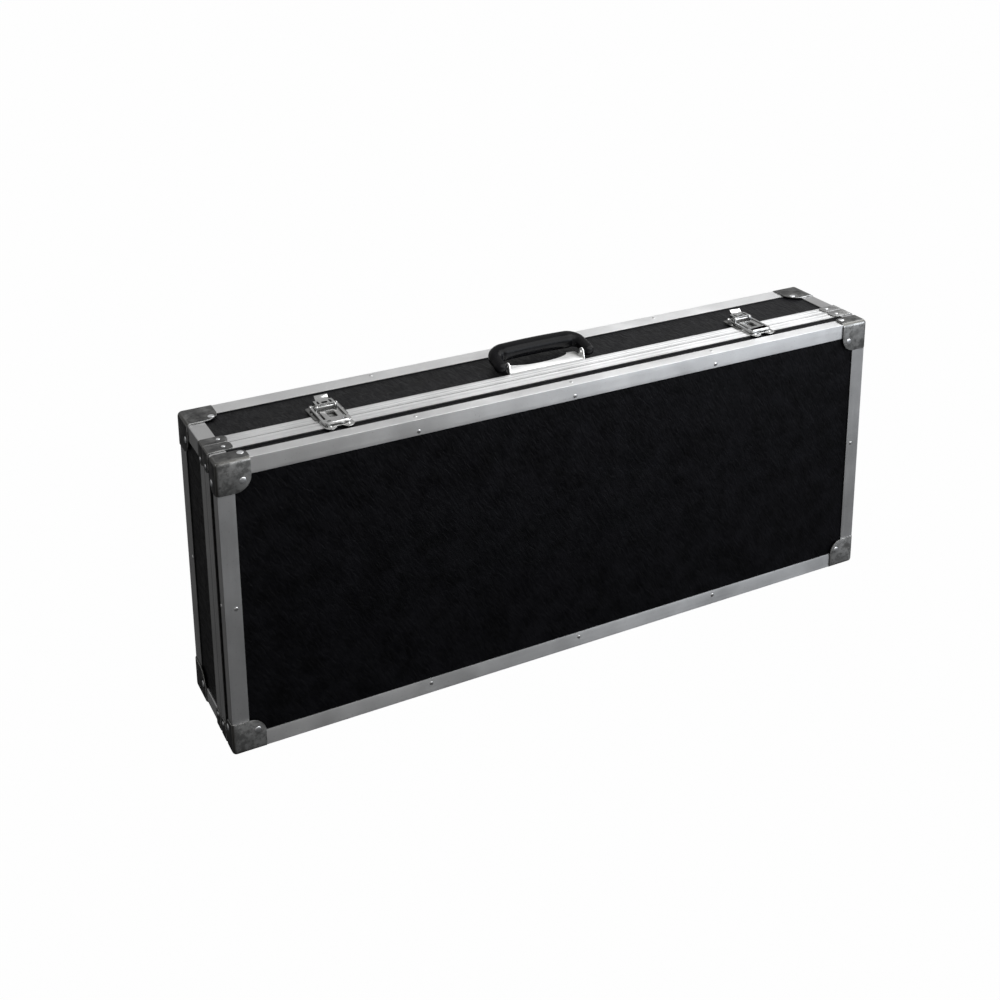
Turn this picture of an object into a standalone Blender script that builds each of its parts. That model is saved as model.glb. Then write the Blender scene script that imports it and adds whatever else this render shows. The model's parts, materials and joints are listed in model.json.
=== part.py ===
"""A hard case for a keyboard: black covered boards in aluminium profiles, standing on its long side.

X runs along the case, Y from the lid's face to the back, Z up. The origin lies under the middle
of the case, on the surface that it stands on. All sizes are in metres and all angles in degrees.
"""
import math

import bmesh
import bpy
from mathutils import Matrix, Vector

# The whole case, over its profiles
CASE_LENGTH = 1.000
CASE_DEPTH = 0.168
CASE_HEIGHT = 0.403
LID_DEPTH = 0.052
GAP = 0.0003
PARTING_GAP = 0.0003
OVERRUN = 0.004
WELD = 0.00001
SINK = 0.00005

# Covered boards
BOARD = 0.007

# L-shaped edge profiles
EDGE_WALL = 0.0016
EDGE_ROUND = 0.0036
EDGE_FACE_LEG = 0.022
LID_SIDE_LEG = 0.020
BACK_SIDE_LEG = 0.026
CORNER_TRIM = 0.0036
ARC_STEPS = 4

# Closure profiles round the mouth
CLOSURE_WIDTH = 0.020
CLOSURE_SEAT = 0.012
CLOSURE_BLOCK = 0.0105
CLOSURE_CHAMFER = 0.002
TONGUE_INSET = 0.005
TONGUE_THICK = 0.002
TONGUE_REACH = 0.0025
GROOVE_OUTER_CLEARANCE = 0.0004
GROOVE_INNER_CLEARANCE = 0.0007
GROOVE_END_CLEARANCE = 0.0007

# Corner protectors
CORNER_THICK = 0.0017
CORNER_ROUND = 0.005
CORNER_LENGTH = 0.043
CORNER_HEIGHT = 0.043
LID_CORNER_DEPTH = 0.0317
BODY_CORNER_DEPTH = 0.046
CORNER_LOBE = 0.021
CORNER_STEPS = 3

# Braces over the closure profiles
BRACE_THICK = 0.0012
BRACE_ROUND = 0.0035
BRACE_LENGTH = 0.033
BRACE_HEIGHT = 0.027
BRACE_SETBACK = 0.003
BRACE_WIDTH = 0.0165
BRACE_LOBE = 0.007

# Rivets
RIVET_RADIUS = 0.0029
RIVET_HEIGHT = 0.0011
RIVET_SEAT = 0.0004
RIVET_TOP_SHARE = 0.55
RIVET_SIDES = 8
CORNER_RIVET_RADIUS = 0.0036
LONG_RIVET_SHARES = (-0.235, 0.0, 0.235)
LONG_FACE_RIVET = 0.0125
LONG_SIDE_RIVET = {"lid": 0.0125, "body": 0.008}
SHORT_FACE_RIVET = 0.0145
SHORT_SIDE_RIVET = {"lid": 0.012, "body": 0.0195}
CORNER_FACE_RIVET = (0.032, 0.0275)
CORNER_LONG_RIVET = {"lid": (0.035, 0.014), "body": (0.033, 0.036)}
CORNER_END_RIVET = {"lid": (0.016, 0.031), "body": (0.037, 0.023)}
BRACE_LONG_RIVET = 0.0265
BRACE_END_RIVET = 0.020

# Lid hinges, under the case
HINGE_PLACE_SHARES = (-0.33, 0.33)
HINGE_LENGTH = 0.060
HINGE_AXIS_INSET = 0.0006
KNUCKLE_RADIUS = 0.0021
KNUCKLE_BORE = 0.0012
HINGE_PIN_RADIUS = 0.00085
KNUCKLE_CLEARANCE = 0.0004
KNUCKLE_SIDES = 12
LEAF_THICK = 0.0011
LEAF_WIDTH = 0.018
LEAF_START = 0.004
LEAF_NOTCH = 0.0065
LEAF_SIDE_GAP = 0.0006

# Linings
PAD_THICK = 0.010

# Carrying handle
HANDLE_X = -0.005
HANDLE_PIVOT_BEHIND_PARTING = 0.030
HANDLE_PIVOT_HEIGHT = 0.0075
HANDLE_TILT = 14.0
HANDLE_SIDE_CLEARANCE = 0.0008
HANDLE_DRAW_IN = 0.001
HANDLE_REACH = 0.033
HANDLE_CORNER = 0.016
HANDLE_BELLY = 0.0015
HANDLE_HALF_WIDTH = 0.0125
HANDLE_HALF_THICK = 0.012
HANDLE_SECTION_ROUND = 0.0075
HANDLE_LEG_SHARE = 0.70
HANDLE_FOOT_STEPS = (-0.007, -0.0055, -0.0035, 0.0005, 0.006, 0.012)
HANDLE_FOOT_SHARES = (0.30, 0.50, 0.65, 0.70, 0.70, 0.70)
HANDLE_CORNER_STEPS = 7
HANDLE_GRIP_STEPS = 8
HANDLE_BASE_HALF_LENGTH = 0.0595
HANDLE_BASE_FRONT = 0.008
HANDLE_BASE_BACK = 0.022
HANDLE_BASE_THICK = 0.0015
HANDLE_BASE_ROUND = 0.004
HANDLE_EAR_HALF_WIDTH = 0.008
HANDLE_EAR_RADIUS = 0.0055
HANDLE_PIN_RADIUS = 0.0022
HANDLE_PIN_INSIDE = 0.0025
HANDLE_PIN_DEPTH = 0.009
PIN_SIDES = 12
HOLE_CLEARANCE = 0.0003

# Draw latches
LATCH_X = 0.3305
LATCH_PIVOT_BEHIND_PARTING = 0.028
LATCH_PIVOT_HEIGHT = 0.007
LATCH_PLATE_THICK = 0.0012
LATCH_BASE_HALF_WIDTH = 0.015
LATCH_BASE_FRONT = 0.025
LATCH_BASE_BACK = 0.020
LATCH_TAB_HALF_WIDTH = 0.023
LATCH_TAB_FRONT = 0.023
LATCH_TAB_BACK = -0.016
LATCH_TAB_ROUND = 0.003
LATCH_RIVET_X = 0.0207
LATCH_EAR_INSIDE = 0.0136
LATCH_EAR_THICK = 0.0012
LATCH_EAR_RADIUS = 0.0036
LATCH_EAR_HALF_FOOT = 0.0055
LEVER_HALF_WIDTH = 0.013
LEVER_SHEET = 0.0012
LEVER_TOP = 0.0036
LEVER_FRONT = 0.0012
LEVER_BACK = 0.0125
LEVER_HUB_RADIUS = 0.0037
LEVER_TAB_HALF_WIDTH = 0.009
LEVER_TAB_LINE = ((0.0115, 0.0036), (0.0145, 0.0041), (0.0180, 0.0056), (0.0210, 0.0073), (0.0235, 0.0081))
LEVER_SLOT_X = (0.0070, 0.0100)
LEVER_SLOT_Y = (0.0010, 0.0105)
LEVER_HOLE_HALF_WIDTH = 0.0038
LEVER_HOLE_Y = (0.0015, 0.0065)
LEVER_PIN_RADIUS = 0.0013
LEVER_PIN_HALF = 0.0152
BAIL_ARM = 0.010
BAIL_DROP = 0.0026
BAIL_INSIDE = 0.0156
BAIL_ARM_WIDTH = 0.0032
BAIL_THICK = 0.0018
BAIL_EYE_RADIUS = 0.0025
BAIL_PIN_RADIUS = 0.0012
BAIL_PIN_SPARE = 0.0004
BAIL_FRONT = 0.047
BAIL_CROSSBAR = 0.012
BAIL_ROLL_RADIUS = 0.0015
BAIL_HOLE_X = 0.0105
BAIL_HOLE_RADIUS = 0.0028
BAIL_ROUND = 0.005
BAIL_PLATE_HALF_WIDTH = 0.0122
BAIL_PLATE_BACK = 0.0085
BAIL_PLATE_LAP = 0.0012
BAIL_PLATE_ROUND = 0.002
BAIL_WINDOW_HALF_WIDTH = 0.0058
BAIL_WINDOW_MARGIN = 0.004
KEEPER_HALF_WIDTH = 0.020
KEEPER_LENGTH = 0.027
KEEPER_SETBACK = 0.002
KEEPER_NOTCH_HALF_WIDTH = 0.004
KEEPER_NOTCH_DEPTH = 0.0065
KEEPER_LOBE = 0.007
KEEPER_RIVET = (0.0125, 0.0215)
KEEPER_HORN_HALF_WIDTH = 0.012
KEEPER_HORN_FRONT = 0.0095
KEEPER_HORN_DEPTH = 0.003
KEEPER_HORN_HEIGHT = 0.0032

# Places that follow from the sizes
CORNER_PROUD = CORNER_THICK + GAP
END_X = CASE_LENGTH / 2
FRONT_Y = -CASE_DEPTH / 2
BACK_Y = CASE_DEPTH / 2
PARTING_Y = FRONT_Y + LID_DEPTH
BOTTOM_Z = CORNER_PROUD
TOP_Z = BOTTOM_Z + CASE_HEIGHT
MIDDLE_Z = BOTTOM_Z + CASE_HEIGHT / 2
BOARD_INSET = EDGE_WALL + GAP
BOARD_INNER = BOARD_INSET + BOARD
HINGE_Z = BOTTOM_Z + HINGE_AXIS_INSET
HINGE_PLACE = Vector((0, PARTING_Y, HINGE_Z))
HANDLE_PIVOT = Vector((HANDLE_X, PARTING_Y + HANDLE_PIVOT_BEHIND_PARTING, TOP_Z + HANDLE_PIVOT_HEIGHT))
HANDLE_FOOT_X = HANDLE_BASE_HALF_LENGTH + HANDLE_SIDE_CLEARANCE + HANDLE_HALF_WIDTH * HANDLE_LEG_SHARE
HANDLE_LEG_X = HANDLE_FOOT_X - HANDLE_DRAW_IN
LATCH_PIVOT_Y = PARTING_Y + LATCH_PIVOT_BEHIND_PARTING
LATCH_PIVOT_Z = TOP_Z + LATCH_PIVOT_HEIGHT
BAIL_Y = LATCH_PIVOT_Y + BAIL_ARM
BAIL_Z = LATCH_PIVOT_Z - BAIL_DROP

HALVES = {"lid": 1, "body": -1}
SIDES = {"left": -1, "right": 1}
LEVELS = {"bottom": -1, "top": 1}

# Local X, Y and Z of a prism, as columns, for prisms that run along the world's X or Y
ALONG_X = Matrix(((0, 0, 1), (1, 0, 0), (0, 1, 0))).to_4x4()
ALONG_Y = Matrix(((1, 0, 0), (0, 0, 1), (0, 1, 0))).to_4x4()
ALONG_Z = Matrix.Identity(4)


def clear_scene():
    """Remove every object and give back the collections for the parts and for the cutters."""
    for obj in list(bpy.data.objects):
        bpy.data.objects.remove(obj, do_unlink=True)
    parts = bpy.data.collections.new("keyboard_hard_case")
    cutters = bpy.data.collections.new("cutters")
    for collection in (parts, cutters):
        bpy.context.scene.collection.children.link(collection)
    return parts, cutters


PARTS, CUTTERS = clear_scene()


def material(name, colour, roughness, metallic):
    """A Principled material of one colour."""
    made = bpy.data.materials.new(name)
    made.use_nodes = True
    shader = made.node_tree.nodes["Principled BSDF"]
    shader.inputs["Base Color"].default_value = (*colour, 1.0)
    shader.inputs["Roughness"].default_value = roughness
    shader.inputs["Metallic"].default_value = metallic
    return made


COVERING = material("black_covering", (0.012, 0.012, 0.013), 0.55, 0.0)
ALUMINIUM = material("brushed_aluminium", (0.62, 0.62, 0.61), 0.38, 1.0)
GUNMETAL = material("dark_pressed_steel", (0.11, 0.11, 0.115), 0.35, 1.0)
CHROME = material("bright_chrome", (0.80, 0.80, 0.80), 0.12, 1.0)
PLASTIC = material("black_plastic", (0.018, 0.018, 0.019), 0.30, 0.0)
FOAM = material("grey_foam", (0.05, 0.05, 0.055), 0.95, 0.0)
HINGE_STEEL = material("zinc_plated_steel", (0.45, 0.45, 0.44), 0.35, 1.0)


def arc(centre, radius, start, end, steps):
    """Points on an arc, from one angle to another, both included."""
    angles = [math.radians(start + (end - start) * i / steps) for i in range(steps + 1)]
    return [(centre[0] + radius * math.cos(a), centre[1] + radius * math.sin(a)) for a in angles]


def circle(centre, radius, sides):
    """A closed round outline."""
    return arc(centre, radius, 0, 360, sides)[:-1]


def rounded_rectangle(low, high, radius):
    """An outline with four rounded corners."""
    points = arc((high[0] - radius, high[1] - radius), radius, 0, 90, ARC_STEPS)
    points += arc((low[0] + radius, high[1] - radius), radius, 90, 180, ARC_STEPS)
    points += arc((low[0] + radius, low[1] + radius), radius, 180, 270, ARC_STEPS)
    points += arc((high[0] - radius, low[1] + radius), radius, 270, 360, ARC_STEPS)
    return points


def face_out(shape):
    """Turn every face of each separate solid outwards."""
    bmesh.ops.recalc_face_normals(shape, faces=shape.faces)
    shape.normal_update()
    reached = set()
    for seed in shape.faces:
        if seed in reached:
            continue
        solid = [seed]
        reached.add(seed)
        for face in solid:
            for edge in face.edges:
                fresh = [other for other in edge.link_faces if other not in reached]
                reached.update(fresh)
                solid += fresh
        volume = sum(face.calc_area() * face.normal.dot(face.calc_center_median()) for face in solid)
        if volume < 0:
            bmesh.ops.reverse_faces(shape, faces=solid)


def from_evaluated(obj):
    """A bmesh of an object as its modifiers leave it, with the object and its data removed."""
    bpy.context.view_layer.update()
    depsgraph = bpy.context.evaluated_depsgraph_get()
    mesh = bpy.data.meshes.new_from_object(obj.evaluated_get(depsgraph))
    mesh.transform(obj.matrix_world)
    shape = bmesh.new()
    shape.from_mesh(mesh)
    bmesh.ops.remove_doubles(shape, verts=shape.verts, dist=WELD)
    bpy.data.objects.remove(obj, do_unlink=True)
    bpy.data.meshes.remove(mesh)
    return shape


def prism(outlines, length):
    """A prism about the origin: outlines in X and Y, the later ones holes, drawn out along Z."""
    curve = bpy.data.curves.new("outline", "CURVE")
    curve.dimensions = "2D"
    curve.fill_mode = "BOTH"
    curve.extrude = length / 2
    for outline in outlines:
        spline = curve.splines.new("POLY")
        spline.points.add(len(outline) - 1)
        spline.use_cyclic_u = True
        for point, (x, y) in zip(spline.points, outline):
            point.co = (x, y, 0, 1)
    obj = bpy.data.objects.new("outline", curve)
    CUTTERS.objects.link(obj)
    shape = from_evaluated(obj)
    bpy.data.curves.remove(curve)
    return shape


def sheet(outlines, low, high, axis=ALONG_Z, offset=(0, 0, 0)):
    """A prism from low to high along its axis, then moved by an offset."""
    shape = prism(outlines, high - low)
    bmesh.ops.translate(shape, verts=shape.verts, vec=(0, 0, (low + high) / 2))
    shape.transform(Matrix.Translation(offset) @ axis)
    face_out(shape)
    return shape


def block(low, high):
    """A box between two corners."""
    shape = bmesh.new()
    bmesh.ops.create_cube(shape, size=1)
    size = [b - a for a, b in zip(low, high)]
    middle = [(a + b) / 2 for a, b in zip(low, high)]
    bmesh.ops.scale(shape, verts=shape.verts, vec=size)
    bmesh.ops.translate(shape, verts=shape.verts, vec=middle)
    return shape


def rod(radius, low, high, y, z, sides=PIN_SIDES):
    """A round rod along X."""
    return sheet([circle((y, z), radius, sides)], low, high, ALONG_X)


def mesh_object(name, shape, collection):
    """An object for a bmesh, which is freed."""
    mesh = bpy.data.meshes.new(name)
    shape.to_mesh(mesh)
    shape.free()
    obj = bpy.data.objects.new(name, mesh)
    collection.objects.link(obj)
    return obj


def combined(base, tools, operation):
    """A solid joined with, or cut by, each of the tools."""
    obj = mesh_object("base", base, CUTTERS)
    helpers = []
    for tool in tools:
        helper = mesh_object("cutter", tool, CUTTERS)
        helper.hide_render = True
        helper.display_type = "WIRE"
        helpers.append(helper)
        modifier = obj.modifiers.new("boolean", "BOOLEAN")
        modifier.operation = operation
        modifier.solver = "EXACT"
        modifier.object = helper
    shape = from_evaluated(obj)
    for helper in helpers:
        bpy.data.objects.remove(helper, do_unlink=True)
    bmesh.ops.dissolve_degenerate(shape, edges=shape.edges, dist=WELD)
    return shape


def joined(base, tools):
    """One solid out of several that run into each other."""
    return combined(base, tools, "UNION")


def cut(base, tools):
    """A solid with holes or notches."""
    return combined(base, tools, "DIFFERENCE")


def copies(shape, matrices):
    """One bmesh with a copy of a shape at every matrix."""
    mesh = bpy.data.meshes.new("copy")
    shape.to_mesh(mesh)
    shape.free()
    group = bmesh.new()
    for matrix in matrices:
        placed = mesh.copy()
        placed.transform(matrix)
        group.from_mesh(placed)
        bpy.data.meshes.remove(placed)
    bpy.data.meshes.remove(mesh)
    face_out(group)
    return group


def part(name, shape, finish, origin=(0, 0, 0), smooth=0):
    """A named part: a closed solid with its own origin, shaded smooth below an angle."""
    face_out(shape)
    bmesh.ops.translate(shape, verts=shape.verts, vec=-Vector(origin))
    obj = mesh_object(name, shape, PARTS)
    obj.location = origin
    obj.data.materials.append(finish)
    if smooth:
        obj.data.shade_smooth()
        obj.data.set_sharp_from_angle(angle=math.radians(smooth))
    return obj


def pivot(name, place):
    """An empty on a joint's axis, for a group of parts that turn together."""
    empty = bpy.data.objects.new(name, None)
    empty.location = place
    PARTS.objects.link(empty)
    return empty


def carry(carrier, pieces):
    """Parent pieces to what carries them, leaving them where they are."""
    bpy.context.view_layer.update()
    for piece in pieces:
        piece.parent = carrier
        piece.matrix_parent_inverse = carrier.matrix_world.inverted()


def trim(shape, point, normal, closed=True):
    """Cut away what lies beyond a plane, and close the cut on a solid."""
    everything = shape.verts[:] + shape.edges[:] + shape.faces[:]
    result = bmesh.ops.bisect_plane(
        shape, geom=everything, plane_co=point, plane_no=normal, clear_outer=True)
    if closed:
        rim = [item for item in result["geom_cut"] if isinstance(item, bmesh.types.BMEdge)]
        bmesh.ops.holes_fill(shape, edges=rim, sides=0)


def round_corner(shape, axes, corner, signs, radius):
    """Round off a corner of an open sheet, in the plane of two axes, by planes tangent to an arc."""
    for step in range(CORNER_STEPS):
        angle = math.radians(90 * (step + 1) / (CORNER_STEPS + 1))
        normal = Vector((0, 0, 0))
        point = Vector((0, 0, 0))
        for axis, place, sign, part_of_one in zip(axes, corner, signs, (math.cos(angle), math.sin(angle))):
            normal[axis] = sign * part_of_one
            point[axis] = place - sign * radius + sign * part_of_one * radius
        trim(shape, point, normal, closed=False)


def thickened(shape, thickness):
    """A closed shell from an open sheet whose faces point out, thickened inwards."""
    obj = mesh_object("sheet", shape, CUTTERS)
    modifier = obj.modifiers.new("solidify", "SOLIDIFY")
    modifier.thickness = thickness
    modifier.offset = -1
    modifier.use_even_offset = True
    return from_evaluated(obj)


def folded_shell(low, high, edges, radius, lobes, thickness):
    """A pressed shell over a corner or an edge, with its outside at low, and its free corners round.

    edges names the axes that the rounded arrises run along. The faces that stay are those
    at low on the other axes.
    """
    shape = block(low, high)
    kept = {axis for axis in range(3) if any(edge != axis for edge in edges)}
    arrises = []
    for edge in shape.edges:
        ends = [vert.co for vert in edge.verts]
        fixed = [a for a in range(3) if all(abs(end[a] - low[a]) < WELD for end in ends)]
        running = [a for a in edges if abs(ends[0][a] - ends[1][a]) > WELD]
        if len(fixed) == 2 and running:
            arrises.append(edge)
    bmesh.ops.bevel(shape, geom=arrises, offset=radius, segments=CORNER_STEPS, profile=0.5, affect="EDGES")
    doomed = []
    for face in shape.faces:
        for axis in range(3):
            at_high = all(abs(vert.co[axis] - high[axis]) < WELD for vert in face.verts)
            at_low = all(abs(vert.co[axis] - low[axis]) < WELD for vert in face.verts)
            if at_high or (at_low and axis not in kept):
                doomed.append(face)
    bmesh.ops.delete(shape, geom=doomed, context="FACES")
    for axes, corner, signs, lobe in lobes:
        round_corner(shape, axes, corner, signs, lobe)
    bmesh.ops.recalc_face_normals(shape, faces=shape.faces)
    return thickened(shape, thickness)


def ring_bar(section, direction, level, mitre_gap, closed=True):
    """One of the four bars of a ring round the case, mitred at both ends.

    The section is in distance inward from the outside, and Y. direction is X for a long bar
    and Z for a short one, and level is -1 or 1, the side that it lies on.
    """
    half = END_X if direction == "X" else CASE_HEIGHT / 2
    shape = prism([section], 2 * (half + OVERRUN))
    for end in (-1, 1):
        mitre = Vector((1, 0, end)).normalized()
        trim(shape, Vector((0, 0, end * half)) - mitre * mitre_gap / 2, mitre, closed)
    if direction == "X":
        columns = (Vector((0, 0, -level)), Vector((0, 1, 0)), Vector((1, 0, 0)))
        place = (0, 0, MIDDLE_Z + level * CASE_HEIGHT / 2)
    else:
        columns = (Vector((-level, 0, 0)), Vector((0, 1, 0)), Vector((0, 0, 1)))
        place = (level * END_X, 0, MIDDLE_Z)
    turn = Matrix(columns).transposed().to_4x4()
    shape.transform(Matrix.Translation(place) @ turn)
    return shape


def blunt_corners(shape):
    """Take a small slant off whatever reaches the case's long corners in depth."""
    for side in SIDES.values():
        for level in LEVELS.values():
            normal = Vector((side, 0, level)).normalized()
            corner = Vector((side * END_X, 0, MIDDLE_Z + level * CASE_HEIGHT / 2))
            trim(shape, corner - normal * CORNER_TRIM / math.sqrt(2), normal)
    face_out(shape)
    return shape


def ring_spans():
    """Name, direction and level of the four bars of a ring."""
    spans = [(name, "X", level) for name, level in LEVELS.items()]
    return spans + [(name, "Z", level) for name, level in SIDES.items()]


def edge_section(face, inward, side_leg):
    """Section of an edge profile: inset, and Y from the case's face at Y = face going inward."""
    rounding = arc((EDGE_ROUND, EDGE_ROUND), EDGE_ROUND, 180, 270, ARC_STEPS)
    outline = [(0, side_leg)] + rounding + [(EDGE_FACE_LEG, 0), (EDGE_FACE_LEG, EDGE_WALL)]
    outline += [(EDGE_WALL, EDGE_WALL), (EDGE_WALL, side_leg)]
    return [(inset, face + inward * depth) for inset, depth in outline]


def closure_section(half):
    """Section of a closure profile: the lid's with its tongue, or the body's with its groove."""
    away = -HALVES[half]
    start = PARTING_GAP / 2
    outline = [(CLOSURE_CHAMFER, start), (0, CLOSURE_CHAMFER), (0, CLOSURE_WIDTH)]
    outline += [(EDGE_WALL, CLOSURE_WIDTH), (EDGE_WALL, CLOSURE_SEAT), (CLOSURE_BLOCK, CLOSURE_SEAT)]
    outline += [(CLOSURE_BLOCK, start)]
    tongue_end = TONGUE_INSET + TONGUE_THICK
    if half == "lid":
        outline += [(tongue_end, start), (tongue_end, -TONGUE_REACH)]
        outline += [(TONGUE_INSET, -TONGUE_REACH), (TONGUE_INSET, start)]
    else:
        deep = TONGUE_REACH + GROOVE_END_CLEARANCE
        inner = tongue_end + GROOVE_INNER_CLEARANCE
        outer = TONGUE_INSET - GROOVE_OUTER_CLEARANCE
        outline += [(inner, start), (inner, deep), (outer, deep), (outer, start)]
    return [(inset, PARTING_Y + away * depth) for inset, depth in outline]


def hinge_places():
    """The name and the X of each lid hinge."""
    return {name: share * CASE_LENGTH for name, share in zip(SIDES, HINGE_PLACE_SHARES)}


def make_edges(half, pieces):
    """The four riveted edge profiles round the lid's face or round the back."""
    if half == "lid":
        section = edge_section(FRONT_Y, 1, LID_SIDE_LEG)
        edge_name = "lid_front_edge"
    else:
        section = edge_section(BACK_Y, -1, BACK_SIDE_LEG)
        edge_name = "body_back_edge"
    for name, direction, level in ring_spans():
        bar = blunt_corners(ring_bar(section, direction, level, GAP))
        bar = riveted(bar, bar_rivets(half, direction, level), RIVET_RADIUS)
        pieces.append(part(f"{edge_name}_{name}", bar, ALUMINIUM, smooth=40))


def make_closure(half, pieces):
    """The closure profile of one half, bent into one frame, with room for the hinges' knuckles."""
    frame = bmesh.new()
    for _, direction, level in ring_spans():
        bar = ring_bar(closure_section(half), direction, level, 0, closed=False)
        mesh = bpy.data.meshes.new("bar")
        bar.to_mesh(mesh)
        bar.free()
        frame.from_mesh(mesh)
        bpy.data.meshes.remove(mesh)
    bmesh.ops.remove_doubles(frame, verts=frame.verts, dist=WELD)
    frame = blunt_corners(frame)
    radius = KNUCKLE_RADIUS + KNUCKLE_CLEARANCE
    reach = HINGE_LENGTH / 2 + LEAF_SIDE_GAP
    notches = []
    for x in hinge_places().values():
        notches.append(rod(radius, x - reach, x + reach, PARTING_Y, HINGE_Z, KNUCKLE_SIDES))
    pieces.append(part(f"{half}_closure_frame", cut(frame, notches), ALUMINIUM))


def make_depth_edges(pieces):
    """The four edge profiles that run in depth on the body, from the closure to the back."""
    low = PARTING_Y + CLOSURE_WIDTH + GAP
    high = BACK_Y - BACK_SIDE_LEG - GAP
    leg = EDGE_FACE_LEG
    outline = [(0, leg)] + arc((EDGE_ROUND, EDGE_ROUND), EDGE_ROUND, 180, 270, ARC_STEPS)
    outline += [(leg, 0), (leg, EDGE_WALL), (EDGE_WALL, EDGE_WALL), (EDGE_WALL, leg)]
    for side_name, side in SIDES.items():
        for level_name, level in LEVELS.items():
            profile = sheet([outline], low, high, ALONG_Y)
            place = (side * END_X, 0, MIDDLE_Z + level * CASE_HEIGHT / 2)
            profile.transform(Matrix.Translation(place) @ Matrix.Diagonal((-side, 1, -level, 1)))
            pieces.append(part(f"body_depth_edge_{level_name}_{side_name}", profile, ALUMINIUM, smooth=40))


def make_boards(half, pieces):
    """The face board and the four side boards of one half of the case."""
    side_x = END_X - BOARD_INSET
    inner_x = END_X - BOARD_INNER
    low_z = BOTTOM_Z + BOARD_INSET
    high_z = TOP_Z - BOARD_INSET
    if half == "lid":
        face = (FRONT_Y + BOARD_INSET, FRONT_Y + BOARD_INNER)
        sides = (FRONT_Y + BOARD_INNER + GAP, PARTING_Y - CLOSURE_SEAT - GAP)
        face_name = "lid_front_panel"
    else:
        face = (BACK_Y - BOARD_INNER, BACK_Y - BOARD_INSET)
        sides = (PARTING_Y + CLOSURE_SEAT + GAP, BACK_Y - BOARD_INNER - GAP)
        face_name = "body_back_panel"
    pieces.append(part(face_name, block((-side_x, face[0], low_z), (side_x, face[1], high_z)), COVERING))
    if half == "lid":
        outer = block((-side_x, sides[0], low_z), (side_x, sides[1], high_z))
        low = (-inner_x, sides[0] - OVERRUN, low_z + BOARD)
        high = (inner_x, sides[1] + OVERRUN, high_z - BOARD)
        pieces.append(part("lid_side_boards", cut(outer, [block(low, high)]), COVERING))
        return
    for name, level in LEVELS.items():
        bottom = low_z if level < 0 else high_z - BOARD
        board = block((-side_x, sides[0], bottom), (side_x, sides[1], bottom + BOARD))
        pieces.append(part(f"body_{name}_panel", board, COVERING))
    for name, side in SIDES.items():
        near = side_x if side > 0 else -inner_x
        low = (near - BOARD, sides[0], low_z + BOARD + GAP)
        high = (near, sides[1], high_z - BOARD - GAP)
        pieces.append(part(f"body_{name}_panel", block(low, high), COVERING))


def corner_matrix(half, side, level):
    """From distances inward along X, Y and Z to the case's corner of one half."""
    face_y = FRONT_Y if half == "lid" else BACK_Y
    place = (side * END_X, face_y, MIDDLE_Z + level * CASE_HEIGHT / 2)
    return Matrix.Translation(place) @ Matrix.Diagonal((-side, HALVES[half], -level, 1))


def closure_matrix(half, side, level):
    """From distances inward along X, away from the parting plane, and inward along Z."""
    place = (side * END_X, PARTING_Y, MIDDLE_Z + level * CASE_HEIGHT / 2)
    return Matrix.Translation(place) @ Matrix.Diagonal((-side, -HALVES[half], -level, 1))


def make_corners(half, pieces):
    """The four corner protectors of one half."""
    depth = LID_CORNER_DEPTH if half == "lid" else BODY_CORNER_DEPTH
    low = (-CORNER_PROUD, -CORNER_PROUD, -CORNER_PROUD)
    high = (CORNER_LENGTH, depth, CORNER_HEIGHT)
    lobes = []
    for axes in ((0, 2), (0, 1), (1, 2)):
        corner = (high[axes[0]], high[axes[1]])
        lobe = min(CORNER_LOBE, corner[0] / 2, corner[1] / 2)
        lobes.append((axes, corner, (1, 1), lobe))
    for level_name, level in LEVELS.items():
        for side_name, side in SIDES.items():
            shell = folded_shell(low, high, (0, 1, 2), CORNER_ROUND, lobes, CORNER_THICK)
            shell.transform(corner_matrix(half, side, level))
            face_out(shell)
            shell = riveted(shell, corner_rivets(half, side, level), CORNER_RIVET_RADIUS)
            name = f"{half}_corner_{level_name}_{side_name}"
            pieces.append(part(name, shell, GUNMETAL, smooth=40))


def make_braces(half, pieces):
    """The four braces folded over the closure profile of one half at its corners."""
    proud = BRACE_THICK + GAP
    low = (-proud, BRACE_SETBACK, -proud)
    high = (BRACE_LENGTH, BRACE_SETBACK + BRACE_WIDTH, BRACE_HEIGHT)
    lobes = []
    for axis in (0, 2):
        for place, sign in ((high[1], 1), (low[1], -1)):
            lobes.append(((axis, 1), (high[axis], place), (1, sign), BRACE_LOBE))
    for level_name, level in LEVELS.items():
        for side_name, side in SIDES.items():
            brace = folded_shell(low, high, (1,), BRACE_ROUND, lobes, BRACE_THICK)
            brace.transform(closure_matrix(half, side, level))
            face_out(brace)
            brace = riveted(brace, brace_rivets(half, side, level), RIVET_RADIUS)
            pieces.append(part(f"{half}_brace_{level_name}_{side_name}", brace, GUNMETAL, smooth=40))


def riveted(shape, places, radius):
    """A plate or bar with domed rivet heads set in its surface, each at a place with a normal."""
    depth = RIVET_HEIGHT + RIVET_SEAT
    head = bmesh.new()
    bmesh.ops.create_cone(
        head, cap_ends=True, segments=RIVET_SIDES, radius1=radius,
        radius2=radius * RIVET_TOP_SHARE, depth=depth)
    matrices = []
    for place, normal in places:
        direction = Vector(normal)
        lifted = Vector(place) + direction * (RIVET_HEIGHT - RIVET_SEAT) / 2
        turn = direction.to_track_quat("Z", "Y").to_matrix().to_4x4()
        matrices.append(Matrix.Translation(lifted) @ turn)
    return joined(shape, [copies(head, matrices)])


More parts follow.
